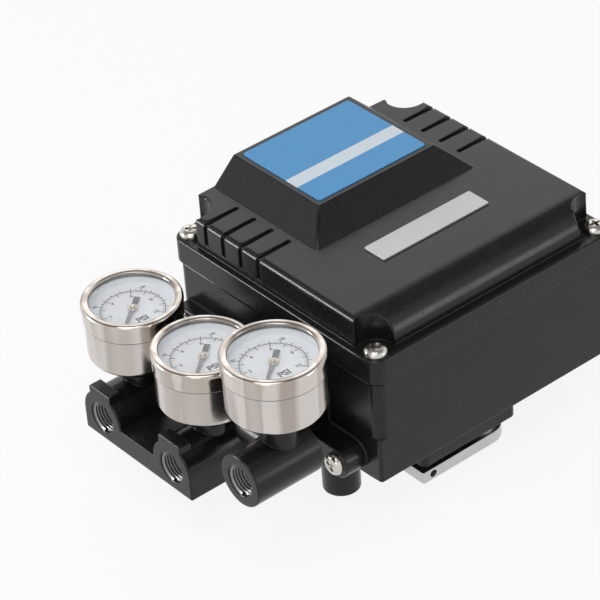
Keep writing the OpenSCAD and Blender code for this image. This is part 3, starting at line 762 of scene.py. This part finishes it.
def apply(piece, kind, **settings):
    """Adds a modifier, sets it and applies it."""
    only(piece)
    bpy.ops.object.modifier_add(type=kind)
    modifier = piece.modifiers[-1]
    for key, value in settings.items():
        setattr(modifier, key, value)
    bpy.ops.object.modifier_apply(modifier=modifier.name)


def settle(piece, matrix=None):
    """Moves a piece to its place and leaves the place in its mesh."""
    only(piece)
    if matrix is not None:
        piece.matrix_world = matrix @ piece.matrix_world
        bpy.context.view_layer.update()
    bpy.ops.object.transform_apply(location=True, rotation=True, scale=True)


def upon(low, high, level):
    """The move to the middle of a box at a level."""
    return Matrix.Translation(((low.x + high.x) / 2, (low.y + high.y) / 2, level))


def turn_z(angle):
    return Matrix.Rotation(angle, 4, "Z")


def along(direction, place):
    """The matrix that turns Z to a direction and moves the origin to a place."""
    turn = Vector((0, 0, 1)).rotation_difference(Vector(direction)).to_matrix().to_4x4()
    return Matrix.Translation(place) @ turn


def smooth(piece, angle=32):
    only(piece)
    bpy.ops.object.shade_smooth_by_angle(angle=math.radians(angle))


def coated(piece, name, finish):
    """Names a finished piece and gives it its finish."""
    piece.name = piece.data.name = name
    piece.data.materials.clear()
    piece.data.materials.append(finish_of(finish))


def dress(piece, name, slot, body, *nodes, finish=None):
    """Names and finishes a piece and joins it to the frame."""
    coated(piece, name, finish or slot)
    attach(piece, body)
    if nodes:
        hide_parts(*nodes)


def slot_of(node):
    rows = frame["record"]["subparts"]
    return next(row["material_slot"] for row in rows if row["node"] == node)


def join(pieces):
    only(pieces[0])
    for piece in pieces:
        piece.select_set(True)
    bpy.ops.object.join()
    return bpy.context.view_layer.objects.active


def copy_of(piece):
    twin = bpy.data.objects.new(piece.name, piece.data.copy())
    bpy.context.scene.collection.objects.link(twin)
    return twin


def copies_of(master, places):
    """One piece with a copy of the master at each place, without the master."""
    twins = []
    for place in places:
        twins.append(copy_of(master))
        settle(twins[-1], place)
    bpy.data.objects.remove(master)
    return join(twins)


def stepped(radius, height, *steps):
    """A profile of (out, up) steps in mm from one radius and height."""
    return [(radius + out * MM, height + up * MM) for out, up in steps]


def spun(profile, vertices, fill, extrude):
    """A circle extruded and resized along the (radius, height) steps of a profile."""
    deselect()
    (radius, height), *steps = profile
    bpy.ops.mesh.primitive_circle_add(
        vertices=vertices, radius=radius, fill_type=fill, location=(0, 0, height)
    )
    piece = bpy.context.object
    edit(piece)
    for wide, high in steps:
        extrude(TRANSFORM_OT_translate={"value": (0, 0, high - height)})
        share = wide / radius
        bpy.ops.transform.resize(value=(share, share, 1), center_override=(0, 0, high))
        radius, height = wide, high
    leave()
    return piece


def turned(profile, vertices=64):
    """A solid turned on Z."""
    piece = spun(profile, vertices, "NGON", bpy.ops.mesh.extrude_region_move)
    sealed(piece)
    settle(piece)
    return piece


def ring(profile, vertices=96):
    """A ring turned on Z from a closed profile."""
    loop = [*profile, profile[0]]
    piece = spun(loop, vertices, "NOTHING", bpy.ops.mesh.extrude_edges_move)
    sealed(piece, MERGE)
    settle(piece)
    smooth(piece, 40)
    return piece


def merged(node):
    """A copy of a CAD node in edit mode, its triangles merged into whole faces."""
    piece = copy_of(frame["nodes"][node])
    only(piece)
    bpy.ops.mesh.customdata_custom_splitnormals_clear()
    edit(piece)
    bpy.ops.mesh.remove_doubles(threshold=CAD_MERGE)
    bpy.ops.mesh.dissolve_limited(angle_limit=math.radians(0.4))
    return piece


def pick(piece, wanted):
    """Selects the edges that a test accepts, in edit mode."""
    bpy.ops.mesh.select_all(action="DESELECT")
    mesh = bmesh.from_edit_mesh(piece.data)
    for edge in [edge for edge in mesh.edges if wanted(edge)]:
        edge.select = True
    bmesh.update_edit_mesh(piece.data)


def turn_of(edge):
    return edge.calc_face_angle(0.0) if len(edge.link_faces) == 2 else 0.0


def has_room(edge, radius):
    """Whether the edges that meet a sharp edge are long enough for its bevel."""
    for corner in edge.verts:
        line = edge.other_vert(corner).co - corner.co
        for other in corner.link_edges:
            across = other.other_vert(corner).co - corner.co
            turn = line.angle(across, 0.0)
            if other is edge or turn > IN_LINE:
                continue
            if across.length * math.sin(turn) < ROOM * radius:
                return False
    return True


def passes(edge, spots, reach):
    """Whether an edge comes within reach of one of the spots."""
    first, last = (corner.co for corner in edge.verts)
    steps = max(1, int(edge.calc_length() / reach))
    return any(
        spots.find(first.lerp(last, i / steps))[2] < reach
        for i in range(steps + 1)
    )


def strays(piece, before, radius):
    """The corners of the bevelled faces that left the surface they came from."""
    mesh = piece.data
    found = [Vector((9, 9, 9))]  # far from the part, so that the tree is never empty
    for face in mesh.polygons:
        _, normal, _, gap = before.find_nearest(face.center)
        corners = [mesh.vertices[i].co for i in face.vertices]
        off = max(before.find_nearest(corner)[3] for corner in corners)
        turned_over = gap < ON_SURFACE * radius and normal.dot(face.normal) < SAME_WAY
        if off > OFF_SURFACE * radius or turned_over:
            found += [corner.copy() for corner in (*corners, face.center)]
    spots = KDTree(len(found))
    for i, spot in enumerate(found):
        spots.insert(spot, i)
    spots.balance()
    return spots


def softened(node, radius, segments=2, first=None):
    """A copy of a CAD node with its sharp edges rounded where a bevel has room."""
    spots = None
    for last in (False, True):
        piece = merged(node)
        if first:
            first(piece)
        before = BVHTree.FromBMesh(bmesh.from_edit_mesh(piece.data))
        pick(
            piece,
            lambda edge: turn_of(edge) > SHARP
            and edge.is_convex
            and has_room(edge, radius)
            and not (spots and passes(edge, spots, FAULT_WIDTH * radius)),
        )
        bpy.ops.mesh.bevel(offset=radius, segments=segments, affect="EDGES")
        leave()
        if not last:
            spots = strays(piece, before, radius)
            bpy.data.objects.remove(piece)
    smooth(piece, 40)
    apply(piece, "WEIGHTED_NORMAL", mode="FACE_AREA", weight=80, keep_sharp=True)
    return piece


def soften(body, *rows):
    """Replaces CAD nodes of a body by copies with rounded edges."""
    for node, radius in rows:
        piece = softened(node, radius)
        dress(piece, node + "_finished", slot_of(node), body, node)


def block(size, place):
    """A box of that size round a place."""
    deselect()
    bpy.ops.mesh.primitive_cube_add(size=1, location=place)
    piece = bpy.context.object
    piece.scale = size
    settle(piece)
    return piece


def taper(piece, normal, share):
    """Resizes the end of a box that faces along normal."""
    edit(piece, "DESELECT", "FACE")
    mesh = bmesh.from_edit_mesh(piece.data)
    end = max(mesh.faces, key=lambda face: face.normal.dot(Vector(normal)))
    end.select = True
    bmesh.update_edit_mesh(piece.data)
    bpy.ops.transform.resize(value=share, center_override=end.calc_center_median())
    leave()


def cut(piece, cutter):
    apply(piece, "BOOLEAN", operation="DIFFERENCE", solver="EXACT", object=cutter)
    bpy.data.objects.remove(cutter)


def pan_screw(radius, height, shank, length):
    """A pan head screw with a cross recess, its seat at the origin."""
    look = bpy.context.scene.positioner_fasteners
    widths = (0.985, 1, 1, 0.965, 0.88, 0.72, 0.5, 0.2)
    heights = (0, 0.08, 0.36, 0.55, 0.75, 0.9, 0.975, 1)
    piece = turned(
        [
            (shank * 0.7, -length),
            (shank, -length + shank * 0.5),
            (shank, 0),
            *((radius * wide, height * high) for wide, high in zip(widths, heights)),
        ]
    )
    slot_turn = 0.4
    for turn in (slot_turn, slot_turn + math.pi / 2):
        cutter = block((radius * 1.4, look.recess, height * 1.4), (0, 0, height * 0.98))
        taper(cutter, (0, 0, -1), (0.45, 0.7, 1))
        settle(cutter, turn_z(turn))
        cut(piece, cutter)
    smooth(piece, 35)
    return piece


def thread(radius, height, pitch, depth, steps=40):
    """A thread ridge that winds up from z 0 on the inside of a hole of that radius."""
    deselect()
    bpy.ops.mesh.primitive_circle_add(
        vertices=3, radius=pitch, fill_type="NOTHING", location=(0, 0, 0)
    )
    piece = bpy.context.object
    root = radius + 0.04 * MM
    corners = ((root, 0.06), (radius - height, 0.5), (root, 0.94))
    for vertex, (out, share) in zip(piece.data.vertices, corners):
        vertex.co = (out, 0, share * pitch)
    apply(
        piece,
        "SCREW",
        axis="Z",
        screw_offset=pitch,
        iterations=int(depth / pitch) - 1,
        steps=steps,
        render_steps=steps,
        use_merge_vertices=True,
    )
    sealed(piece, MERGE, 3)
    smooth(piece, 30)
    return piece


# Operators


class POSITIONER_OT_finishes(bpy.types.Operator):
    """Give each CAD node the finish of its material slot"""

    bl_idname = "positioner.finishes"
    bl_label = "Finishes"

    def execute(self, context):
        for row in frame["record"]["subparts"]:
            mesh = frame["nodes"][row["node"]].data
            mesh.materials.clear()
            mesh.materials.append(finish_of(row["material_slot"]))
        return {"FINISHED"}


class POSITIONER_OT_castings(bpy.types.Operator):
    """Round the edges of the painted castings"""

    bl_idname = "positioner.castings"
    bl_label = "Castings"

    # Rims of the scoops: least height, how upright they are, how far their foot is
    # under the top of the screws, and their distance from the axis of a screw
    rim_height = 9 * MM
    rim_upright = 0.98
    rim_foot = 4 * MM
    rim_near = 8 * MM
    rim_far = 10 * MM

    def execute(self, context):
        edge = context.scene.positioner_castings.edge
        for node, share, first in (
            ("housing", 0.8, None),
            ("cover", 0.9, self.scoops),
            ("port_block", 0.8, None),
            ("signal_port", 0.7, None),
        ):
            piece = softened(node, edge * share, 3, first)
            dress(piece, node + "_casting", "black_paint", "root", node)
        return {"FINISHED"}

    def scoops(self, piece):
        """Rounds the upright rims of the scoops round the cover screws."""
        low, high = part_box("cover_screws")

        def upright(edge):
            first, last = (corner.co for corner in edge.verts)
            rise = abs(first.z - last.z)
            return (
                rise > self.rim_height
                and rise > edge.calc_length() * self.rim_upright
                and min(first.z, last.z) > high.z - self.rim_foot
                and self.in_scoop(first, low, high)
                and turn_of(edge) > 1
            )

        pick(piece, upright)
        radius = bpy.context.scene.positioner_castings.rim
        bpy.ops.mesh.bevel(offset=radius, segments=5, affect="EDGES")

    def in_scoop(self, point, low, high):
        """Whether a point is at the rim of one of the scoops round the cover screws."""
        off = [
            min(
                abs(point[i] - low[i] - HEAD_RADIUS),
                abs(point[i] - high[i] + HEAD_RADIUS),
            )
            for i in (0, 1)
        ]
        return self.rim_near < math.hypot(*off) < self.rim_far


class POSITIONER_OT_screws(bpy.types.Operator):
    """Model one cross recess screw and copy it to each seat"""

    bl_idname = "positioner.screws"
    bl_label = "Screws"

    shank = 2.5 * MM
    apart = 12 * MM  # screws on one casting are further apart

    def execute(self, context):
        self.cover_screws()
        self.side_screws("signal_port_screws")
        self.side_screws("port_block_screws")
        return {"FINISHED"}

    def cover_screws(self):
        low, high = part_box("cover_screws")
        seat = high.z - HEAD_HEIGHT
        places = [
            (x, y, seat)
            for x in (low.x + HEAD_RADIUS, high.x - HEAD_RADIUS)
            for y in (low.y + HEAD_RADIUS, high.y - HEAD_RADIUS)
        ]
        piece = copies_of(
            pan_screw(HEAD_RADIUS, HEAD_HEIGHT, self.shank, seat - low.z),
            [
                Matrix.Translation(place) @ turn_z(0.5 * number)
                for number, place in enumerate(places)
            ],
        )
        dress(piece, "cover_screw_set", "nickel_screw", "root", "cover_screws")

    def side_screws(self, node):
        low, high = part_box(node)
        seat = low.x + HEAD_HEIGHT
        heads = self.heads(node)
        radius = heads[0][0]
        piece = copies_of(
            pan_screw(radius, HEAD_HEIGHT, radius * 0.5, high.x - seat),
            [
                along((-1, 0, 0), (seat, y, z)) @ turn_z(0.35 + 0.7 * number)
                for number, (_, y, z) in enumerate(heads)
            ],
        )
        dress(piece, node[:-1] + "_set", "nickel_screw", "root", node)

    def heads(self, node):
        """Radius and middle of each screw head of a node whose screws lie along X."""
        groups = []
        for vertex in frame["nodes"][node].data.vertices:
            spot = vertex.co.yz
            for group in groups:
                if (group[0] - spot).length < self.apart:
                    group.append(spot)
                    break
            else:
                groups.append([spot])
        found = []
        for group in groups:
            ys, zs = zip(*group)
            middle = [(max(values) + min(values)) / 2 for values in (ys, zs)]
            found.append(((max(ys) - min(ys)) / 2, *middle))
        return found


class POSITIONER_OT_threads(bpy.types.Operator):
    """Cut the threads in the air ports"""

    bl_idname = "positioner.threads"
    bl_label = "Threads"

    def execute(self, context):
        look = context.scene.positioner_fasteners
        mounts = {m["name"]: m for m in frame["record"]["mounts"]}
        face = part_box("port_block")[0].x
        lead_in = 0.3 * MM
        for name in ("output_port", "supply_port", "signal_inlet"):
            size = mounts[name]["dims"]
            _, y, z = mounts[name]["pos_m"]
            depth = size["length_mm"] * MM - 2 * lead_in
            piece = thread(size["r_mm"] * MM, look.thread_height, look.pitch, depth)
            settle(piece, along((1, 0, 0), (face + lead_in, y, z)))
            dress(piece, name + "_thread", "aluminium", "root", finish="port_thread")
        return {"FINISHED"}


class POSITIONER_OT_plates(bpy.types.Operator):
    """Model the label and the bare name plate with soft edges"""

    bl_idname = "positioner.plates"
    bl_label = "Plates"

    edge = 0.18 * MM

    def execute(self, context):
        soften("root", ("label_plate", self.edge), ("name_plate", self.edge))
        return {"FINISHED"}


class POSITIONER_OT_rims(bpy.types.Operator):
    """Model the rolled bezel, its seal, a grey ring of painted shade at the seam and
    the white ring of each gauge
    """

    bl_idname = "positioner.rims"
    bl_label = "Gauge rims"

    lip = 2.4 * MM  # how far the bezel reaches over the window
    play = 0.05 * MM

    # Over the rolled edge: distance in mm from the outside and share of the height
    roll_in = (0.35, 0.15, 0, 0.06, 0.28, 0.7, 1.2)
    roll_down = (0.6, 0.38, 0.22, 0.12, 0.05, 0.012, 0)
    # Steps in mm from the edge of the lip and from the side of the window
    lip_edge = ((1.05, -0.04), (0.97, -0.058), (0.2, -0.238), (0.12, -0.27), (0, -0.45))
    seal = ((-0.2, -0.02), (-0.2, 0.12), (-0.05, 0.25), (0.1, 0.25), (0.1, -0.02))
    # A thin grey ring at the step under the bezel: a real seam, and its grey paints the
    # shade under the bezel's edge
    seam = ((-0.15, -0.45), (0.2, -0.4), (0.2, 0.1), (-0.15, 0.1))

    def execute(self, context):
        for number in GAUGES:
            name = f"gauge_{number}_"
            low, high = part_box(name + "bezel")
            glass_low, glass_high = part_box(name + "window")
            dial_low, dial_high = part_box(name + "dial")
            wide = (high.x - low.x) / 2
            inner = (glass_high.x - glass_low.x) / 2 + self.play
            view = inner - self.lip
            under = glass_high.z - high.z + 0.03 * MM
            edge = (dial_high.x - dial_low.x) / 2
            deep = glass_low.z - dial_high.z
            rim = self.rim(wide, view, inner, low.z - high.z, under)
            seal = stepped(view, under, *self.seal)
            seam = stepped(inner, 0, *self.seam)
            liner = [
                *stepped(edge, 0, (0, 0.01), (-0.5, 0.01)),
                *stepped(edge, deep, (-0.35, -0.15), (-0.2, -0.02), (0, -0.02)),
            ]
            for part, profile, level, slot, finish, *nodes in (
                ("rim", rim, high.z, "gauge_steel", "bezel_steel", name + "bezel"),
                ("gasket", seal, high.z, "gasket_rubber", "needle_grey"),
                # The grey seam ring paints the shade line under the bezel
                ("seam", seam, low.z, "gauge_steel", "needle_grey"),
                ("liner", liner, dial_high.z, "dial_white", "dial_white"),
            ):
                piece = ring(profile)
                settle(piece, upon(low, high, level))
                dress(piece, name + part, slot, "root", *nodes, finish=finish)
        return {"FINISHED"}

    def rim(self, wide, view, inner, foot, under):
        """From the foot of the skirt over the rolled edge and the lip to the inside."""
        return [
            *stepped(wide, foot, (-0.55, 0), (-0.4, 0.15)),
            *((wide - i * MM, foot * d) for i, d in zip(self.roll_in, self.roll_down)),
            *stepped(view, 0, *self.lip_edge),
            (view, under),
            (inner, under),
            (inner, foot),
        ]


class POSITIONER_OT_dials(bpy.types.Operator):
    """Print the scale and its figures on each dial"""

    bl_idname = "positioner.dials"
    bl_label = "Dials"

    parts = 1200  # steps round the net of the scale
    rows = (-2.1, -1.2, -0.15, 0.2, 0.9, 1.4)  # rings of the net, in mm from the arc
    ink = 0.05 * MM

    def execute(self, context):
        look = context.scene.positioner_gauges
        arc = look.scale_radius
        inner = self.figures(look, look.divisions, 2, 1, arc - 3.5 * MM, 1.0)
        outer = self.figures(look, look.outer_divisions, 5, 10, arc + 2.6 * MM, 0.75)
        unit = self.printed("PSI", look.unit_height, 0.16 * MM)
        settle(unit, Matrix.Translation((0, -look.unit_drop, 0)))
        master = join([self.scale(look), *inner, *outer, unit])
        for number in GAUGES:
            low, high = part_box(f"gauge_{number}_dial")
            twin = copy_of(master)
            settle(twin, upon(low, high, high.z) @ turn_z(look.turn))
            name = f"gauge_{number}_scale"
            dress(twin, name, "pointer_black", "root", finish="scale_ink")
        bpy.data.objects.remove(master)
        return {"FINISHED"}

    def scale(self, look):
        """The arc and the marks on both its sides: a net of rings without its gaps."""
        step = 2 * math.pi / self.parts
        rows = [look.scale_radius + shift * MM for shift in self.rows]
        flat = [(row, 0) for row in rows]
        piece = spun(flat, self.parts, "NOTHING", bpy.ops.mesh.extrude_edges_move)
        settle(piece, turn_z(step / 2))
        edit(piece, "DESELECT", "FACE")
        mesh = bmesh.from_edit_mesh(piece.data)
        inner = look.sweep / look.divisions
        outer = look.sweep / look.outer_divisions
        bold, fine, outer_bold, outer_fine = (n * step for n in (3.4, 1.9, 2.4, 1.6))
        for face in mesh.faces:
            middle = face.calc_center_median()
            gone = (look.zero - math.atan2(middle.y, middle.x)) % (2 * math.pi)
            gone = 0.0 if gone > 2 * math.pi - 4 * step else gone
            main = self.on(gone, inner, bold)
            outer_main = self.on(gone, outer, outer_bold)
            kept = (
                main,
                main or self.on(gone, inner / 5, fine),
                True,
                outer_main or self.on(gone, outer / 2, outer_fine),
                outer_main,
            )[sum(middle.xy.length > row for row in rows[1:-1])]
            face.select = not (kept and gone <= look.sweep + bold)
        bmesh.update_edit_mesh(piece.data)
        bpy.ops.mesh.delete(type="FACE")
        leave()
        apply(piece, "SOLIDIFY", thickness=self.ink, offset=1.0)
        self.lift(piece)
        return piece

    def on(self, gone, gap, reach):
        """Whether an angle is within reach of a whole number of gaps."""
        return abs(gone - round(gone / gap) * gap) < reach

    def lift(self, piece):
        """Sets the lowest point of a printed piece on the dial."""
        low = min(v.co.z for v in piece.data.vertices)
        settle(piece, Matrix.Translation((0, 0, 0.005 * MM - low)))

    def printed(self, words, height, weight):
        """Figures or letters of a given height, flat on the dial at its middle."""
        deselect()
        bpy.ops.object.text_add(location=(0, 0, 0))
        text = bpy.context.object.data
        text.body = words
        text.size = height * 1.4
        text.align_x = "CENTER"
        text.align_y = "CENTER"
        text.offset = weight
        text.extrude = self.ink / 2
        bpy.ops.object.convert(target="MESH")
        piece = bpy.context.object
        sealed(piece, PRINT_MERGE)
        self.lift(piece)
        return piece

    def figures(self, look, divisions, every, worth, radius, share):
        """The figures of one scale, upright on a circle."""
        made = []
        for value in range(0, divisions + 1, every):
            words = str(value * worth)
            piece = self.printed(words, look.figure_height * share, 0.05 * MM)
            angle = look.zero - look.sweep * value / divisions
            place = (radius * math.cos(angle), radius * math.sin(angle), 0)
            settle(piece, Matrix.Translation(place))
            made.append(piece)
        return made


class POSITIONER_OT_pointers(bpy.types.Operator):
    """Model the needle, the tail and the hub of each pointer"""

    bl_idname = "positioner.pointers"
    bl_label = "Pointers"

    drop = 5.2 * MM  # from the top of the bezel
    reach = 14.4 * MM
    thick = 0.5 * MM
    hub_widths = (1.45, 1.95, 2.1, 2.1, 1.95, 1.3, 1.2, 0.9)  # radii in mm
    hub_heights = (-0.3, -0.3, -0.15, 0.35, 0.5, 0.5, 1.0, 1.2)

    def execute(self, context):
        look = context.scene.positioner_gauges
        for number in GAUGES:
            name = f"gauge_{number}_"
            body = f"pointer_{number}"
            low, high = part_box(name + "bezel")
            node = name + "pointer"
            level = high.z - self.drop
            place = upon(low, high, level)
            turn = place @ turn_z(look.zero + look.turn)
            needle = self.bar(self.reach, 2.0 * MM, self.reach / 2, (1, 0.4, 0.6))
            settle(needle, turn)
            slot = "pointer_black"
            dress(needle, name + "needle", slot, body, node, finish="needle_grey")
            tail = self.bar(5.2 * MM, 2.6 * MM, -4.7 * MM, (1, 0.75, 1))
            settle(tail, turn)
            dress(tail, name + "tail", slot, body)
            steps = stepped(0, 0, *zip(self.hub_widths, self.hub_heights))
            foot = (steps[0][0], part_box(node)[0].z - level)
            hub = turned([foot, *steps], 40)
            smooth(hub)
            settle(hub, place)
            dress(hub, name + "hub", "nickel_brass", body)
        return {"FINISHED"}

    def bar(self, length, width, middle, share):
        """A thin bar along X, its far end resized."""
        piece = block((length, width, self.thick), (middle, 0, 0))
        taper(piece, (1, 0, 0), share)
        apply(
            piece,
            "BEVEL",
            width=0.1 * MM,
            segments=2,
            limit_method="ANGLE",
            angle_limit=math.radians(30),
        )
        smooth(piece)
        return piece


class POSITIONER_OT_lever(bpy.types.Operator):
    """Round the edges of the feedback lever, its nut and its washer"""

    bl_idname = "positioner.lever"
    bl_label = "Lever"

    def execute(self, context):
        soften(
            "feedback",
            ("feedback_lever", 0.4 * MM),
            ("lever_nut", 0.3 * MM),
            ("lever_washer", 0.15 * MM),
        )
        return {"FINISHED"}


class POSITIONER_OT_spring(bpy.types.Operator):
    """Wind the feedback spring, which stretches between the beam and the arm"""

    bl_idname = "positioner.spring"
    bl_label = "Spring"

    wire_sides = 10
    turn_steps = 28

    def execute(self, context):
        look = context.scene.positioner_fasteners
        low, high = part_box("feedback_spring")
        middle = (low + high) / 2
        radius = (high.z - low.z) / 2 - look.wire
        ends = []
        parts = []
        for eye_x, side in (
            (low.x + look.wire + look.eye, 1),
            (high.x - look.wire - look.eye, -1),
        ):
            rim = eye_x + side * look.eye
            ends.append(rim + side * look.lead)
            parts += self.hook(look, eye_x, rim, ends[-1], radius)
        parts.append(self.coil(look, *ends, radius))
        piece = join(parts)
        settle(piece, Matrix.Translation((0, middle.y, middle.z)))
        smooth(piece, 60)
        coated(piece, "feedback_spring_coil", "shaft_steel")
        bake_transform(piece)
        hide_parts("feedback_spring")
        return {"FINISHED"}

    def coil(self, look, first, last, radius):
        """A wire section turned and moved along X."""
        deselect()
        bpy.ops.mesh.primitive_circle_add(
            vertices=self.wire_sides, radius=look.wire, location=(first, radius, 0)
        )
        piece = bpy.context.object
        settle(piece)
        apply(
            piece,
            "SCREW",
            axis="X",
            screw_offset=(last - first) / look.turns,
            iterations=look.turns,
            steps=self.turn_steps,
            render_steps=self.turn_steps,
        )
        sealed(piece, sides=0)
        return piece

    def hook(self, look, eye_x, rim, end, radius):
        """An eye round a post, a straight lead and the step out to the coil."""
        deselect()
        bpy.ops.mesh.primitive_torus_add(
            major_radius=look.eye,
            minor_radius=look.wire,
            major_segments=40,
            minor_segments=self.wire_sides,
            location=(eye_x, 0, 0),
        )
        made = [bpy.context.object]
        quarter = math.pi / 2
        for length, place, turn in (
            (abs(end - rim) + look.wire, ((rim + end) / 2, 0, 0), (0, quarter, 0)),
            (radius, (end, radius / 2, 0), (quarter, 0, 0)),
        ):
            bpy.ops.mesh.primitive_cylinder_add(
                vertices=self.wire_sides,
                radius=look.wire,
                depth=length,
                location=place,
                rotation=turn,
            )
            made.append(bpy.context.object)
        for piece in made:
            settle(piece)
        return made


class POSITIONER_OT_stage(bpy.types.Operator):
    """Set the floor, the lamps, the room light and the camera"""

    bl_idname = "positioner.stage"
    bl_label = "Stage"

    # Setting that holds a lamp's power, its place and its size, in metres
    lamps = (
        ("key", (-0.55, -0.3, 1.3), 0.8),
        ("right", (0.6, -1.03, 0.22), 0.3),
        ("rear", (-0.9, 0.77, 0.22), 0.3),
        ("side", (-0.95, -0.6, 0.5), 0.35),
        ("back", (0.75, 0.97, 0.93), 1.0),
    )
    lamp_aim = (-0.03, 0, 0.06)
    floor_size = 9
    floor_gap = 0.0004
    floor_white = 0.88  # share of plain white in the floor that is seen
    horizon = (0.6, 0.7, 1.05)  # heights where the ceiling begins, and the wall's white
    sensor = 36

    def execute(self, context):
        look = context.scene.positioner_stage
        context.scene.view_settings.view_transform = "Standard"
        self.floor(look)
        self.world(context, look)
        for name, place, size in self.lamps:
            self.lamp(name + "_lamp", place, size, getattr(look, name))
        self.camera(context, look)
        return {"FINISHED"}

    def floor(self, look):
        deselect()
        bpy.ops.mesh.primitive_plane_add(
            size=self.floor_size, location=(0, 0, -self.floor_gap)
        )
        floor = bpy.context.object
        floor.name = "floor"
        f = Finish("floor_paper")
        grain = f.noise(40, 3)
        tone = f.mix(grain, tint(look.floor, 0.985), tint(look.floor, 1.01))
        paper = f.add("ShaderNodeBsdfDiffuse", sockets={"Color": tone})
        white = f.add(
            "ShaderNodeEmission", sockets={"Color": (1, 1, 1, 1), "Strength": 1.0}
        )
        share = f.shown() * self.floor_white
        surface = f.add("ShaderNodeMixShader", sockets={0: share, 1: paper, 2: white})
        f.add("ShaderNodeOutputMaterial", sockets={"Surface": surface})
        floor.data.materials.append(f.material)

    def world(self, context, look):
        """Even light, with pale walls and a dim ceiling in what is seen or mirrored."""
        context.scene.world = bpy.data.worlds.new("room")
        room = Nodes(context.scene.world)
        place = room.add("ShaderNodeTexCoord", out="Generated")
        height = room.add("ShaderNodeSeparateXYZ", sockets={0: place}, out="Z")
        keys = ("Value", "From Min", "From Max", "To Min", "To Max")
        values = (height, *self.horizon, look.zenith)
        fade = room.add("ShaderNodeMapRange", sockets=dict(zip(keys, values)))
        light = room.add(
            "ShaderNodeMix", sockets={0: room.shown(), 2: look.world, 3: fade}
        )
        back = room.add(
            "ShaderNodeBackground", sockets={"Color": (1, 1, 1, 1), "Strength": light}
        )
        room.add("ShaderNodeOutputWorld", sockets={"Surface": back})

    def lamp(self, name, place, size, power):
        deselect()
        bpy.ops.object.light_add(type="AREA", location=place)
        lamp = bpy.context.object
        lamp.name = name
        lamp.data.size = size
        lamp.data.energy = power
        aim = Vector(self.lamp_aim) - Vector(place)
        lamp.rotation_euler = aim.to_track_quat("-Z", "Y").to_euler()

    def camera(self, context, look):
        a, e, r = look.azimuth, look.elevation, look.roll
        back = Vector(
            (math.sin(a) * math.cos(e), -math.cos(a) * math.cos(e), math.sin(e))
        )
        right = (-back).cross(Vector((0, 0, 1))).normalized()
        up = right.cross(-back)
        side = right * math.cos(r) + up * math.sin(r)
        tall = up * math.cos(r) - right * math.sin(r)
        place = Vector(look.target) + back * look.distance
        deselect()
        bpy.ops.object.camera_add()
        camera = bpy.context.object
        camera.matrix_world = Matrix(
            [(side[i], tall[i], back[i], place[i]) for i in range(3)] + [(0, 0, 0, 1)]
        )
        camera.data.sensor_width = self.sensor
        camera.data.lens = look.lens
        camera.data.clip_start = 0.05
        camera.data.clip_end = 20
        context.scene.camera = camera


class POSITIONER_PT_looks(bpy.types.Panel):
    """Steps that build the looks of the positioner"""

    bl_idname = "POSITIONER_PT_looks"
    bl_label = "Positioner"
    bl_space_type = "VIEW_3D"
    bl_region_type = "UI"
    bl_category = "Positioner"

    def draw(self, context):
        for operator in OPERATORS:
            self.layout.operator(operator.bl_idname)
        for name, group in SETTINGS.items():
            settings = getattr(context.scene, name)
            box = self.layout.box()
            for key in group.__annotations__:
                box.prop(settings, key)


SETTINGS = {
    "positioner_castings": CastingSettings,
    "positioner_plates": PlateSettings,
    "positioner_gauges": GaugeSettings,
    "positioner_fasteners": FastenerSettings,
    "positioner_stage": StageSettings,
}
OPERATORS = (
    POSITIONER_OT_finishes,
    POSITIONER_OT_castings,
    POSITIONER_OT_screws,
    POSITIONER_OT_threads,
    POSITIONER_OT_plates,
    POSITIONER_OT_rims,
    POSITIONER_OT_dials,
    POSITIONER_OT_pointers,
    POSITIONER_OT_lever,
    POSITIONER_OT_spring,
    POSITIONER_OT_stage,
)


def register():
    for kind in (*SETTINGS.values(), *OPERATORS, POSITIONER_PT_looks):
        bpy.utils.register_class(kind)
    for name, group in SETTINGS.items():
        setattr(bpy.types.Scene, name, PointerProperty(type=group))


def unregister():
    for name in SETTINGS:
        delattr(bpy.types.Scene, name)
    for kind in (POSITIONER_PT_looks, *OPERATORS, *SETTINGS.values()):
        bpy.utils.unregister_class(kind)


def main():
    register()
    bpy.ops.positioner.finishes()
    bpy.ops.positioner.castings()
    bpy.ops.positioner.screws()
    bpy.ops.positioner.threads()
    bpy.ops.positioner.plates()
    bpy.ops.positioner.rims()
    bpy.ops.positioner.dials()
    bpy.ops.positioner.pointers()
    bpy.ops.positioner.lever()
    bpy.ops.positioner.spring()
    bpy.ops.positioner.stage()
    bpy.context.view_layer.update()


if __name__ == "__main__":
    main()
